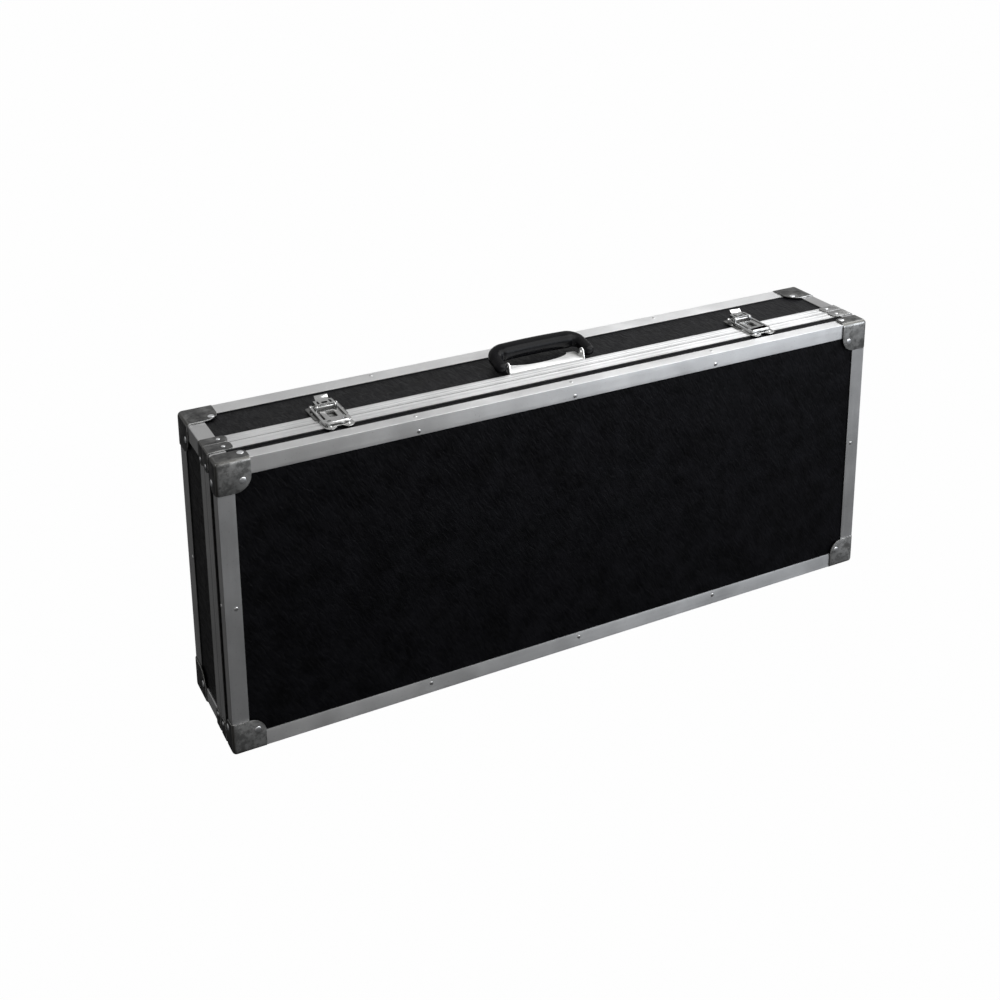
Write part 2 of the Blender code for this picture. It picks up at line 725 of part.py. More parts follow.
def bar_rivets(half, direction, level):
    """Places of the rivets along one edge profile, on both of its legs."""
    face_y = FRONT_Y if half == "lid" else BACK_Y
    inward = HALVES[half]
    places = []
    if direction == "X":
        edge_z = MIDDLE_Z + level * CASE_HEIGHT / 2
        for share in LONG_RIVET_SHARES:
            x = share * CASE_LENGTH
            places.append(((x, face_y, edge_z - level * LONG_FACE_RIVET), (0, -inward, 0)))
            places.append(((x, face_y + inward * LONG_SIDE_RIVET[half], edge_z), (0, 0, level)))
        return places
    edge_x = level * END_X
    places.append(((edge_x - level * SHORT_FACE_RIVET, face_y, MIDDLE_Z), (0, -inward, 0)))
    places.append(((edge_x, face_y + inward * SHORT_SIDE_RIVET[half], MIDDLE_Z), (level, 0, 0)))
    return places


def corner_rivets(half, side, level):
    """Places of the rivets on one corner protector: none on the face that it stands on."""
    face = CORNER_FACE_RIVET
    end = CORNER_END_RIVET[half]
    spots = [((face[0], -CORNER_PROUD, face[1]), (0, -1, 0))]
    spots.append(((-CORNER_PROUD, end[0], end[1]), (-1, 0, 0)))
    if level > 0:
        long = CORNER_LONG_RIVET[half]
        spots.append(((long[0], long[1], -CORNER_PROUD), (0, 0, -1)))
    matrix = corner_matrix(half, side, level)
    return [(matrix @ Vector(place), matrix.to_3x3() @ Vector(normal)) for place, normal in spots]


def brace_rivets(half, side, level):
    """Places of the rivets on one brace: none underneath."""
    proud = BRACE_THICK + GAP
    middle = BRACE_SETBACK + BRACE_WIDTH / 2
    spots = [((-proud, middle, BRACE_END_RIVET), (-1, 0, 0))]
    if level > 0:
        spots.append(((BRACE_LONG_RIVET, middle, -proud), (0, 0, -1)))
    matrix = closure_matrix(half, side, level)
    return [(matrix @ Vector(place), matrix.to_3x3() @ Vector(normal)) for place, normal in spots]


def plate_rivets(centre, x_offset, y):
    """Places of the two rivets on a latch's base or keeper."""
    plate_top = TOP_Z + GAP + LATCH_PLATE_THICK
    return [((centre + side * x_offset, y, plate_top), (0, 0, 1)) for side in SIDES.values()]


def make_linings(lid_parts, body_parts):
    """Foam on the inside of the lid and on the inside of the back."""
    half_x = END_X - BOARD_INNER - GAP
    low_z = BOTTOM_Z + BOARD_INNER + GAP
    high_z = TOP_Z - BOARD_INNER - GAP
    front = FRONT_Y + BOARD_INNER + GAP
    lid_pad = block((-half_x, front, low_z), (half_x, front + PAD_THICK, high_z))
    lid_parts.append(part("lid_pad", lid_pad, FOAM))
    back = BACK_Y - BOARD_INNER - GAP
    back_pad = block((-half_x, back - PAD_THICK, low_z), (half_x, back, high_z))
    body_parts.append(part("body_pad", back_pad, FOAM))


def hinge_leaf(half, centre):
    """One leaf of a lid hinge: two knuckles and the fixed pin on the body's, one knuckle on the lid's."""
    away = -HALVES[half]
    third = HINGE_LENGTH / 3
    high = BOTTOM_Z - GAP
    low = high - LEAF_THICK
    if half == "lid":
        own = [(-third / 2 + LEAF_SIDE_GAP, third / 2 - LEAF_SIDE_GAP)]
        notches = [(-HINGE_LENGTH / 2 - OVERRUN, -third / 2), (third / 2, HINGE_LENGTH / 2 + OVERRUN)]
    else:
        own = [(-HINGE_LENGTH / 2, -third / 2 - LEAF_SIDE_GAP), (third / 2 + LEAF_SIDE_GAP, HINGE_LENGTH / 2)]
        notches = [(-third / 2, third / 2)]

    def box(x_low, x_high, near, far, bottom, top):
        edges = sorted((PARTING_Y + away * near, PARTING_Y + away * far))
        return block((x_low, edges[0], bottom), (x_high, edges[1], top))

    plate = box(-HINGE_LENGTH / 2, HINGE_LENGTH / 2, LEAF_START, LEAF_WIDTH, low, high)
    cutters = [box(a, b, 0, LEAF_NOTCH, low - OVERRUN, high + OVERRUN) for a, b in notches]
    plate = cut(plate, cutters)
    additions = []
    for a, b in own:
        additions.append(rod(KNUCKLE_RADIUS, a, b, PARTING_Y, HINGE_Z, KNUCKLE_SIDES))
        additions.append(box(a + SINK, b - SINK, 0, LEAF_NOTCH + OVERRUN, low + SINK, high - SINK))
    if half == "lid":
        bore = rod(KNUCKLE_BORE, -HINGE_LENGTH / 2, HINGE_LENGTH / 2, PARTING_Y, HINGE_Z, KNUCKLE_SIDES)
        leaf = cut(joined(plate, additions), [bore])
    else:
        half_pin = HINGE_LENGTH / 2 - LEAF_SIDE_GAP
        additions.append(rod(HINGE_PIN_RADIUS, -half_pin, half_pin, PARTING_Y, HINGE_Z, RIVET_SIDES))
        leaf = joined(plate, additions)
    bmesh.ops.translate(leaf, verts=leaf.verts, vec=(centre, 0, 0))
    return leaf


def make_hinges(lid_parts, body_parts):
    """The lid hinges, two leaves each."""
    for name, x in hinge_places().items():
        lid_parts.append(part(f"hinge_{name}_lid_leaf", hinge_leaf("lid", x), HINGE_STEEL, smooth=40))
        body_parts.append(part(f"hinge_{name}_body_leaf", hinge_leaf("body", x), HINGE_STEEL, smooth=40))


def ear_outline(pivot_place, radius, half_foot, foot):
    """An upright lobe round a pivot, in Y and Z, with its foot at a height."""
    y, z = pivot_place
    points = [(y - half_foot, foot), (y + half_foot, foot)]
    return points + arc((y, z), radius, 0, 180, 2 * ARC_STEPS)


def make_handle_base(body_parts):
    """The handle's plate with its two upright ears, and the pins that the legs turn on."""
    low = TOP_Z - BOARD_INSET + GAP
    y = HANDLE_PIVOT.y
    outline = rounded_rectangle(
        (-HANDLE_BASE_HALF_LENGTH, y - HANDLE_BASE_FRONT), (HANDLE_BASE_HALF_LENGTH, y + HANDLE_BASE_BACK),
        HANDLE_BASE_ROUND)
    plate = sheet([outline], low, low + HANDLE_BASE_THICK)
    foot = low + HANDLE_BASE_THICK / 2
    ear = ear_outline((y, HANDLE_PIVOT.z), HANDLE_EAR_RADIUS, HANDLE_EAR_HALF_WIDTH - SINK, foot)
    outside = HANDLE_BASE_HALF_LENGTH - SINK
    ears = []
    for side in SIDES.values():
        ends = sorted((side * outside, side * (outside - HANDLE_BASE_THICK)))
        ears.append(sheet([ear], ends[0], ends[1], ALONG_X))
    reach = HANDLE_BASE_HALF_LENGTH + OVERRUN
    hole = rod(HANDLE_PIN_RADIUS + HOLE_CLEARANCE, -reach, reach, y, HANDLE_PIVOT.z)
    base = cut(joined(plate, ears), [hole])
    bmesh.ops.translate(base, verts=base.verts, vec=(HANDLE_X, 0, 0))
    body_parts.append(part("handle_base", base, CHROME, smooth=40))
    for name, side in SIDES.items():
        inner = HANDLE_BASE_HALF_LENGTH - HANDLE_BASE_THICK - HANDLE_PIN_INSIDE
        ends = sorted((side * inner, side * (HANDLE_BASE_HALF_LENGTH + HANDLE_PIN_DEPTH)))
        pin = rod(HANDLE_PIN_RADIUS, HANDLE_X + ends[0], HANDLE_X + ends[1], y, HANDLE_PIVOT.z)
        body_parts.append(part(f"handle_pin_{name}", pin, CHROME, smooth=40))


def handle_route():
    """The right half of the handle's middle line, as X, reach and size share, from foot to middle."""
    foot = list(zip(HANDLE_FOOT_STEPS, HANDLE_FOOT_SHARES))
    route = [(HANDLE_FOOT_X, reach, share) for reach, share in foot]
    centre = (HANDLE_LEG_X - HANDLE_CORNER, HANDLE_REACH - HANDLE_CORNER)
    turn = arc(centre, HANDLE_CORNER, 0, 90, HANDLE_CORNER_STEPS)
    for step, (x, reach) in enumerate(turn):
        share = HANDLE_LEG_SHARE + (1 - HANDLE_LEG_SHARE) * step / HANDLE_CORNER_STEPS
        route.append((x, reach, share))
    for step in range(1, HANDLE_GRIP_STEPS + 1):
        x = centre[0] * (1 - step / HANDLE_GRIP_STEPS)
        belly = HANDLE_BELLY * (1 - (x / centre[0]) ** 2)
        route.append((x, HANDLE_REACH + belly, 1.0))
    return route


def make_handle():
    """The moulded handle, a bent bar of rounded square section with its origin on its pivot."""
    right = handle_route()
    left = [(-x, reach, share) for x, reach, share in reversed(right[:-1])]
    size = (HANDLE_HALF_WIDTH, HANDLE_HALF_THICK)
    outline = rounded_rectangle((-size[0], -size[1]), size, HANDLE_SECTION_ROUND)
    section = bpy.data.curves.new("handle_section", "CURVE")
    section.dimensions = "2D"
    ring = section.splines.new("POLY")
    ring.points.add(len(outline) - 1)
    ring.use_cyclic_u = True
    for point, (x, y) in zip(ring.points, outline):
        point.co = (x, y, 0, 1)
    section_object = bpy.data.objects.new("handle_section", section)
    CUTTERS.objects.link(section_object)
    route = bpy.data.curves.new("handle_route", "CURVE")
    route.dimensions = "3D"
    route.bevel_mode = "OBJECT"
    route.bevel_object = section_object
    route.use_fill_caps = True
    spline = route.splines.new("POLY")
    spline.points.add(len(right) + len(left) - 1)
    for point, (x, reach, share) in zip(spline.points, right + left):
        point.co = (x, reach, 0, 1)
        point.radius = share
    route_object = bpy.data.objects.new("handle_route", route)
    CUTTERS.objects.link(route_object)
    grip = from_evaluated(route_object)
    bpy.data.curves.remove(route)
    bpy.data.objects.remove(section_object, do_unlink=True)
    bpy.data.curves.remove(section)
    face_out(grip)
    holes = []
    for side in SIDES.values():
        inner = HANDLE_BASE_HALF_LENGTH - OVERRUN
        ends = sorted((side * inner, side * (HANDLE_BASE_HALF_LENGTH + HANDLE_PIN_DEPTH + GAP)))
        holes.append(rod(HANDLE_PIN_RADIUS + HOLE_CLEARANCE, ends[0], ends[1], 0, 0))
    handle = part("handle_grip", cut(grip, holes), PLASTIC, smooth=50)
    handle.location = HANDLE_PIVOT
    handle.rotation_euler = (math.radians(HANDLE_TILT), 0, 0)
    return handle


def latch_base(centre):
    """A latch's riveted plate with two upright ears."""
    y = LATCH_PIVOT_Y
    low = TOP_Z + GAP
    high = low + LATCH_PLATE_THICK
    wide = LATCH_BASE_HALF_WIDTH
    plate = sheet([rounded_rectangle(
        (centre - wide, y - LATCH_BASE_FRONT),
        (centre + wide, y + LATCH_BASE_BACK), LATCH_TAB_ROUND)], low, high)
    tabs = sheet([rounded_rectangle(
        (centre - LATCH_TAB_HALF_WIDTH, y - LATCH_TAB_FRONT),
        (centre + LATCH_TAB_HALF_WIDTH, y - LATCH_TAB_BACK), LATCH_TAB_ROUND)], low + SINK, high - SINK)
    foot = low + LATCH_PLATE_THICK / 2
    ear = ear_outline((y, LATCH_PIVOT_Z), LATCH_EAR_RADIUS, LATCH_EAR_HALF_FOOT, foot)
    ears = []
    for side in SIDES.values():
        ends = (side * LATCH_EAR_INSIDE, side * (LATCH_EAR_INSIDE + LATCH_EAR_THICK))
        ears.append(sheet([ear], centre + min(ends), centre + max(ends), ALONG_X))
    reach = wide + OVERRUN
    hole = rod(LEVER_PIN_RADIUS + HOLE_CLEARANCE, centre - reach, centre + reach, y, LATCH_PIVOT_Z)
    base = cut(joined(plate, [tabs] + ears), [hole])
    rivet_y = y - (LATCH_TAB_FRONT + LATCH_TAB_BACK) / 2
    return riveted(base, plate_rivets(centre, LATCH_RIVET_X, rivet_y), RIVET_RADIUS)


def thick_line(points, thickness):
    """An outline round a line of points, half the thickness to each side."""
    above = []
    below = []
    for index, (x, y) in enumerate(points):
        before = points[max(index - 1, 0)]
        after = points[min(index + 1, len(points) - 1)]
        along = Vector((after[0] - before[0], after[1] - before[1])).normalized()
        offset = Vector((-along.y, along.x)) * thickness / 2
        above.append((x + offset.x, y + offset.y))
        below.append((x - offset.x, y - offset.y))
    return above + below[::-1]


def lever_cheek():
    """Outline of a lever's side, in Y and Z from its pivot, round the pivot and the loop's pin."""
    top = LEVER_TOP - LEVER_SHEET / 4
    hub = arc((0, 0), LEVER_HUB_RADIUS, 90, 270, 2 * ARC_STEPS)
    eye = arc((BAIL_ARM, -BAIL_DROP), BAIL_PIN_RADIUS * 2, 270, 360, ARC_STEPS)
    cheek = [point for point in hub if point[1] <= top]
    return [(-LEVER_FRONT, top)] + cheek + eye + [(BAIL_ARM + BAIL_PIN_RADIUS * 2, top)]


def latch_lever(centre):
    """A latch's lever: a slotted plate with two cheeks and a raised finger tab."""
    y = LATCH_PIVOT_Y
    z = LATCH_PIVOT_Z
    offset = (0, y, z)
    wide = LEVER_HALF_WIDTH
    top_line = thick_line([(-LEVER_FRONT, LEVER_TOP), (LEVER_BACK, LEVER_TOP)], LEVER_SHEET)
    lever = sheet([top_line], centre - wide, centre + wide, ALONG_X, offset)
    narrow = LEVER_TAB_HALF_WIDTH
    tab_line = thick_line(LEVER_TAB_LINE, LEVER_SHEET - SINK)
    tab = sheet([tab_line], centre - narrow, centre + narrow, ALONG_X, offset)
    additions = [tab]
    for side in SIDES.values():
        ends = (side * (wide - SINK), side * (wide - LEVER_SHEET))
        additions.append(sheet([lever_cheek()], centre + min(ends), centre + max(ends), ALONG_X, offset))
    lever = joined(lever, additions)
    tall = (z + LEVER_TOP - LEVER_SHEET, z + LEVER_TOP + LEVER_SHEET)
    cutters = []
    for side in SIDES.values():
        ends = (centre + side * LEVER_SLOT_X[0], centre + side * LEVER_SLOT_X[1])
        cutters.append(block(
            (min(ends), y + LEVER_SLOT_Y[0], tall[0]), (max(ends), y + LEVER_SLOT_Y[1], tall[1])))
    hole = LEVER_HOLE_HALF_WIDTH
    cutters.append(block(
        (centre - hole, y + LEVER_HOLE_Y[0], tall[0]), (centre + hole, y + LEVER_HOLE_Y[1], tall[1])))
    reach = wide + OVERRUN
    cutters.append(rod(LEVER_PIN_RADIUS + HOLE_CLEARANCE, centre - reach, centre + reach, y, z))
    cutters.append(rod(BAIL_PIN_RADIUS + HOLE_CLEARANCE, centre - reach, centre + reach, BAIL_Y, BAIL_Z))
    return cut(lever, cutters)


def latch_bail(centre):
    """A latch's draw loop: arms with eyes, a rolled crossbar, and a middle plate with a window."""
    inside = BAIL_INSIDE
    outside = inside + BAIL_ARM_WIDTH
    front = BAIL_Y - BAIL_ARM - BAIL_FRONT
    inner_front = front + BAIL_CROSSBAR
    outline = [(centre + inside, BAIL_Y), (centre + outside, BAIL_Y)]
    outline += arc((centre + outside - BAIL_ROUND, front + BAIL_ROUND), BAIL_ROUND, 0, -90, ARC_STEPS)
    outline += arc((centre - outside + BAIL_ROUND, front + BAIL_ROUND), BAIL_ROUND, -90, -180, ARC_STEPS)
    outline += [(centre - outside, BAIL_Y), (centre - inside, BAIL_Y)]
    outline += [(centre - inside, inner_front), (centre + inside, inner_front)]
    low = BAIL_Z - BAIL_THICK / 2
    high = BAIL_Z + BAIL_THICK / 2
    middle = front + BAIL_CROSSBAR / 2 + BAIL_ROLL_RADIUS / 2
    hole_places = [(centre + side * BAIL_HOLE_X, middle) for side in SIDES.values()]
    holes = [circle(place, BAIL_HOLE_RADIUS, RIVET_SIDES) for place in hole_places]
    loop = sheet([outline] + holes, low, high)
    wide = BAIL_PLATE_HALF_WIDTH
    window = BAIL_WINDOW_HALF_WIDTH
    plate_back = LATCH_PIVOT_Y - BAIL_PLATE_BACK
    plate_outline = rounded_rectangle(
        (centre - wide, inner_front - BAIL_PLATE_LAP), (centre + wide, plate_back), BAIL_PLATE_ROUND)
    window_outline = rounded_rectangle(
        (centre - window, inner_front + BAIL_WINDOW_MARGIN),
        (centre + window, plate_back - BAIL_WINDOW_MARGIN), BAIL_PLATE_ROUND)
    plate = sheet([plate_outline, window_outline], low + SINK, high - SINK)
    additions = [plate]
    for side in SIDES.values():
        ends = (side * (inside + SINK), side * (outside - SINK))
        additions.append(rod(BAIL_EYE_RADIUS, centre + min(ends), centre + max(ends), BAIL_Y, BAIL_Z))
    roll_half = outside - BAIL_ROUND
    roll_z = low + BAIL_ROLL_RADIUS + SINK
    additions.append(rod(
        BAIL_ROLL_RADIUS, centre - roll_half, centre + roll_half, front + BAIL_ROLL_RADIUS, roll_z))
    reach = outside + OVERRUN
    hole = rod(BAIL_PIN_RADIUS + HOLE_CLEARANCE, centre - reach, centre + reach, BAIL_Y, BAIL_Z)
    return cut(joined(loop, additions), [hole])


def latch_keeper(centre):
    """A latch's two-lobed plate on the lid, with the raised horn that the loop draws on."""
    back = PARTING_Y - KEEPER_SETBACK
    front = back - KEEPER_LENGTH
    wide = KEEPER_HALF_WIDTH
    notch = KEEPER_NOTCH_HALF_WIDTH
    lobe = KEEPER_LOBE
    outline = [(centre + wide, back), (centre - wide, back)]
    outline += arc((centre - wide + lobe, front + lobe), lobe, 180, 270, ARC_STEPS)
    outline += arc((centre - notch - lobe, front + lobe), lobe, 270, 330, ARC_STEPS)
    outline += [(centre - notch, front + KEEPER_NOTCH_DEPTH), (centre + notch, front + KEEPER_NOTCH_DEPTH)]
    outline += arc((centre + notch + lobe, front + lobe), lobe, 210, 270, ARC_STEPS)
    outline += arc((centre + wide - lobe, front + lobe), lobe, 270, 360, ARC_STEPS)
    low = TOP_Z + GAP
    plate = sheet([outline], low, low + LATCH_PLATE_THICK)
    horn_front = PARTING_Y - KEEPER_HORN_FRONT
    horn = block(
        (centre - KEEPER_HORN_HALF_WIDTH, horn_front, low + LATCH_PLATE_THICK / 2),
        (centre + KEEPER_HORN_HALF_WIDTH, horn_front + KEEPER_HORN_DEPTH, TOP_Z + KEEPER_HORN_HEIGHT))
    places = plate_rivets(centre, KEEPER_RIVET[0], PARTING_Y - KEEPER_RIVET[1])
    return riveted(joined(plate, [horn]), places, RIVET_RADIUS)


def make_latches(lid_parts, body_parts):
    """Both draw latches: base, pins, lever, loop and keeper."""
    for name, side in SIDES.items():
        centre = side * LATCH_X
        body_parts.append(part(f"latch_{name}_base", latch_base(centre), CHROME, smooth=40))
        lid_parts.append(part(f"latch_{name}_keeper", latch_keeper(centre), CHROME, smooth=40))
        ends = (centre - LEVER_PIN_HALF, centre + LEVER_PIN_HALF)
        lever_pin = rod(LEVER_PIN_RADIUS, ends[0], ends[1], LATCH_PIVOT_Y, LATCH_PIVOT_Z)
        body_parts.append(part(f"latch_{name}_lever_pin", lever_pin, CHROME, smooth=40))
        lever_place = (centre, LATCH_PIVOT_Y, LATCH_PIVOT_Z)
        bail_place = (centre, BAIL_Y, BAIL_Z)
        lever = part(f"latch_{name}_lever", latch_lever(centre), CHROME, lever_place, smooth=40)
        bail = part(f"latch_{name}_bail", latch_bail(centre), CHROME, bail_place, smooth=40)
        half = BAIL_INSIDE + BAIL_ARM_WIDTH + BAIL_PIN_SPARE
        pin = rod(BAIL_PIN_RADIUS, centre - half, centre + half, BAIL_Y, BAIL_Z)
        bail_pin = part(f"latch_{name}_bail_pin", pin, CHROME, bail_place, smooth=40)
        carry(lever, [bail, bail_pin])


def make_case():
    """The whole case, with the lid's pieces carried by an empty on the hinge axis."""
    lid_parts = []
    body_parts = []
    for half, pieces in (("lid", lid_parts), ("body", body_parts)):
        make_boards(half, pieces)
        make_edges(half, pieces)
        make_closure(half, pieces)
        make_corners(half, pieces)
        make_braces(half, pieces)
    make_depth_edges(body_parts)
    make_linings(lid_parts, body_parts)
    make_hinges(lid_parts, body_parts)
    make_handle_base(body_parts)
    make_handle()
    make_latches(lid_parts, body_parts)
    carry(pivot("lid_hinge_axis", HINGE_PLACE), lid_parts)


make_case()
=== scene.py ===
"""Looks of the keyboard hard case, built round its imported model.

All places are in metres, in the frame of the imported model: X along the case, Y from the lid's
face to the back, Z up. Pieces with a real shape of their own replace the plainer solids.
"""
import json
import math

import bmesh
import bpy
from mathutils import Matrix, Vector, noise


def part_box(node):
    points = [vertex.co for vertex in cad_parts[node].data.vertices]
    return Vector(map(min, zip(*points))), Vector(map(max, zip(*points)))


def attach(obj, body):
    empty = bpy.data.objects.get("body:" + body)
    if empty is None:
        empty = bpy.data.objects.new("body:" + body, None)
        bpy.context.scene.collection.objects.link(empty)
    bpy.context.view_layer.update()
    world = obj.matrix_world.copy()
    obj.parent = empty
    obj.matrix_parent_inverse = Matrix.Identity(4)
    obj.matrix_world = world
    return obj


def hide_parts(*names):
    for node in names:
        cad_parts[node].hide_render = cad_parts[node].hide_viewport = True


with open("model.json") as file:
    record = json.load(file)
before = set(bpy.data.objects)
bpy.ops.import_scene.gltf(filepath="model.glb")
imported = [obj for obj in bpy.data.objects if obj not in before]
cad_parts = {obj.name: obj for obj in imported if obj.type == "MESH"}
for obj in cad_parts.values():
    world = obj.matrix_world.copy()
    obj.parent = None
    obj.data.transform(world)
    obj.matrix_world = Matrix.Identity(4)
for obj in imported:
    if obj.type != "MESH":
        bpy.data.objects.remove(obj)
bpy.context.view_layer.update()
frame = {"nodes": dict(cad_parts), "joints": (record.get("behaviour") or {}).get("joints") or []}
JOINTS = {joint["name"]: joint for joint in frame["joints"]}

# The case over its profiles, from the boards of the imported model
BOARD_INSET = 0.0019
LID_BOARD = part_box("lid_front_panel")
BACK_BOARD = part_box("body_back_panel")
END_X = LID_BOARD[1].x + BOARD_INSET
FRONT_Y = LID_BOARD[0].y - BOARD_INSET
BACK_Y = BACK_BOARD[1].y + BOARD_INSET
BOTTOM_Z = LID_BOARD[0].z - BOARD_INSET
TOP_Z = LID_BOARD[1].z + BOARD_INSET
PARTING_Y = JOINTS["lid_hinge"]["pos_m"][1]
HINGE_PLACE = Vector(JOINTS["lid_hinge"]["pos_m"])
HANDLE_PIVOT = Vector(JOINTS["handle_pivot"]["pos_m"])
MIDDLE_Z = (BOTTOM_Z + TOP_Z) / 2
CASE_HEIGHT = TOP_Z - BOTTOM_Z
GAP = 0.0003
WELD = 0.00001
SINK = 0.00005
OVERRUN = 0.004

# Edge profiles
EDGE_WALL = 0.0016
EDGE_ROUND = 0.0003
DEPTH_EDGE_ROUND = 0.0024
EDGE_LIP = 0.0004
EDGE_SLOPE = 0.0045
EDGE_SLOPE_DROP = 0.0006
EDGE_FACE_LEG = 0.022
SIDE_LEG = {"lid": 0.020, "body": 0.026}
CORNER_TRIM = 0.0036
ARC_STEPS = 8
CUT_EDGE_TOP = 0.0002

# Closure profiles
CLOSURE_WIDTH = 0.020
CLOSURE_SEAT = 0.012
CLOSURE_BLOCK = 0.0105
CLOSURE_CHAMFER = 0.0004
HINGE_CHAMFER = 0.002
PARTING_GAP = 0.0003
TONGUE_INSET = 0.005
TONGUE_THICK = 0.002
TONGUE_REACH = 0.0025
GROOVE_OUTER_CLEARANCE = 0.0004
GROOVE_INNER_CLEARANCE = 0.0007
GROOVE_END_CLEARANCE = 0.0007
KNUCKLE_ROOM = 0.0025
FLUTE_PLACES = {"lid": (0.0045, 0.0130), "body": (0.0068, 0.0132)}
FLUTE_HALF_WIDTH = 0.0005
FLUTE_DEPTH = 0.0003

# Corner protectors and braces
CORNER_THICK = 0.0017
CORNER_PROUD = CORNER_THICK + GAP
CORNER_ROUND = 0.0062
CORNER_LENGTH = 0.043
CORNER_HEIGHT = 0.043
CORNER_DEPTH = {"lid": 0.0225, "body": 0.046}
CORNER_LOBE = 0.0225
BRACE_THICK = 0.0012
BRACE_PROUD = BRACE_THICK + GAP
BRACE_ROUND = 0.0035
BRACE_LENGTH = 0.033
BRACE_HEIGHT = 0.027
BRACE_SETBACK = {"bottom": 0.003, "top": 0.0004}
BRACE_END = {"lid": 0.0215, "body": 0.0195}
BRACE_LOBE = 0.007
FOLD_STEPS = 6
LOBE_STEPS = 9

# Rivets
RIVET_RADIUS = 0.0027
RIVET_HEIGHT = 0.0009
CORNER_RIVET_RADIUS = 0.0044
CORNER_RIVET_HEIGHT = 0.00105
RIVET_SIDES = 20
RIVET_RINGS = 5
LONG_RIVET_SHARES = (-0.2305, 0.0, 0.2305)
LONG_RIVET_DRIFT = 0.0045
LONG_FACE_RIVET = {-1: 0.0143, 1: 0.0165}
LONG_SIDE_RIVET = {"lid": 0.0107, "body": 0.008}
SHORT_FACE_RIVET = 0.0143
SHORT_RIVET_RISE = 0.003
SHORT_SIDE_RIVET = {"lid": 0.0155, "body": 0.0215}
CORNER_FACE_RIVET = (0.032, 0.0275)
CORNER_LONG_RIVET = {"lid": (0.035, 0.014), "body": (0.033, 0.036)}
CORNER_END_RIVET = {"lid": (0.016, 0.031), "body": (0.037, 0.023)}
BRACE_LONG_RIVET = 0.022
BRACE_END_RIVET = 0.020
BRACE_RIVET_FROM_PARTING = 0.01125

# Which way is inward from a half's face, and which way a side or level lies
HALVES = {"lid": 1, "body": -1}
SIDES = {"left": -1, "right": 1}
LEVELS = {"bottom": -1, "top": 1}
CORNERS = [(level, side) for level in LEVELS for side in SIDES]
FACE_Y = {"lid": FRONT_Y, "body": BACK_Y}
EDGE_NAMES = {"lid": "lid_front_edge", "body": "body_back_edge"}

# Name, direction and level of the four bars of a ring round the case
RING_SPANS = [(name, "X", level) for name, level in LEVELS.items()]
RING_SPANS += [(name, "Z", level) for name, level in SIDES.items()]

# Local X, Y and Z of a prism, as columns, for prisms that run along the world's X or Y
ALONG_X = Matrix(((0, 0, 1), (1, 0, 0), (0, 1, 0))).to_4x4()
ALONG_Y = Matrix(((1, 0, 0), (0, 0, 1), (0, 1, 0))).to_4x4()
ALONG_Z = Matrix.Identity(4)


# Shader nodes

RANGE_SOCKETS = ("From Min", "From Max", "To Min", "To Max")
# Where most of a noise's or cell pattern's values lie
NOISE_SPAN = (0.3, 0.7)
CELL_SPAN = (0.1, 0.7)
WEAR_SAMPLES = 4
WEAR_SHARPNESS = 0.12
SLANTED = 0.80
SQUARE = 0.97


def grey(level):
    """A colour without a hue."""
    return (level, level, level)


class Nodes:
    """The node tree of a material or world, filled by short calls."""

    def __init__(self, owner):
        owner.use_nodes = True
        self.owner = owner
        self.tree = owner.node_tree

    def add(self, kind, inputs=None, **settings):
        """Outputs of a new node with its settings, and a value or a link for each named input."""
        node = self.tree.nodes.new(kind)
        for name, value in settings.items():
            setattr(node, name, value)
        for socket, value in (inputs or {}).items():
            if isinstance(value, bpy.types.NodeSocket):
                self.tree.links.new(value, node.inputs[socket])
            else:
                node.inputs[socket].default_value = value
        return node.outputs

    def math(self, operation, first, second):
        """Two values, or a value and a number, put together."""
        return self.add("ShaderNodeMath", {0: first, 1: second}, operation=operation)["Value"]

    def remap(self, value, low, high, to_low=0.0, to_high=1.0):
        """A value brought from one range to another, and held inside it."""
        inputs = dict(zip(RANGE_SOCKETS, (low, high, to_low, to_high)), Value=value)
        return self.add("ShaderNodeMapRange", inputs)["Result"]

    def background_share(self, glossy_share):
        """1 for what the camera sees and through glass, and a share of it in reflections."""
        path = self.add("ShaderNodeLightPath")
        reflected = self.math("MULTIPLY", path["Is Glossy Ray"], glossy_share)
        seen = self.math("MAXIMUM", path["Is Camera Ray"], path["Is Transmission Ray"])
        return self.math("MAXIMUM", seen, reflected)

    def show_mixed(self, share, first, second, output):
        """Put out one shader mixed with another by a share."""
        mixed = self.add("ShaderNodeMixShader", {"Fac": share, 1: first, 2: second})
        self.tree.links.new(mixed["Shader"], self.tree.nodes[output].inputs["Surface"])


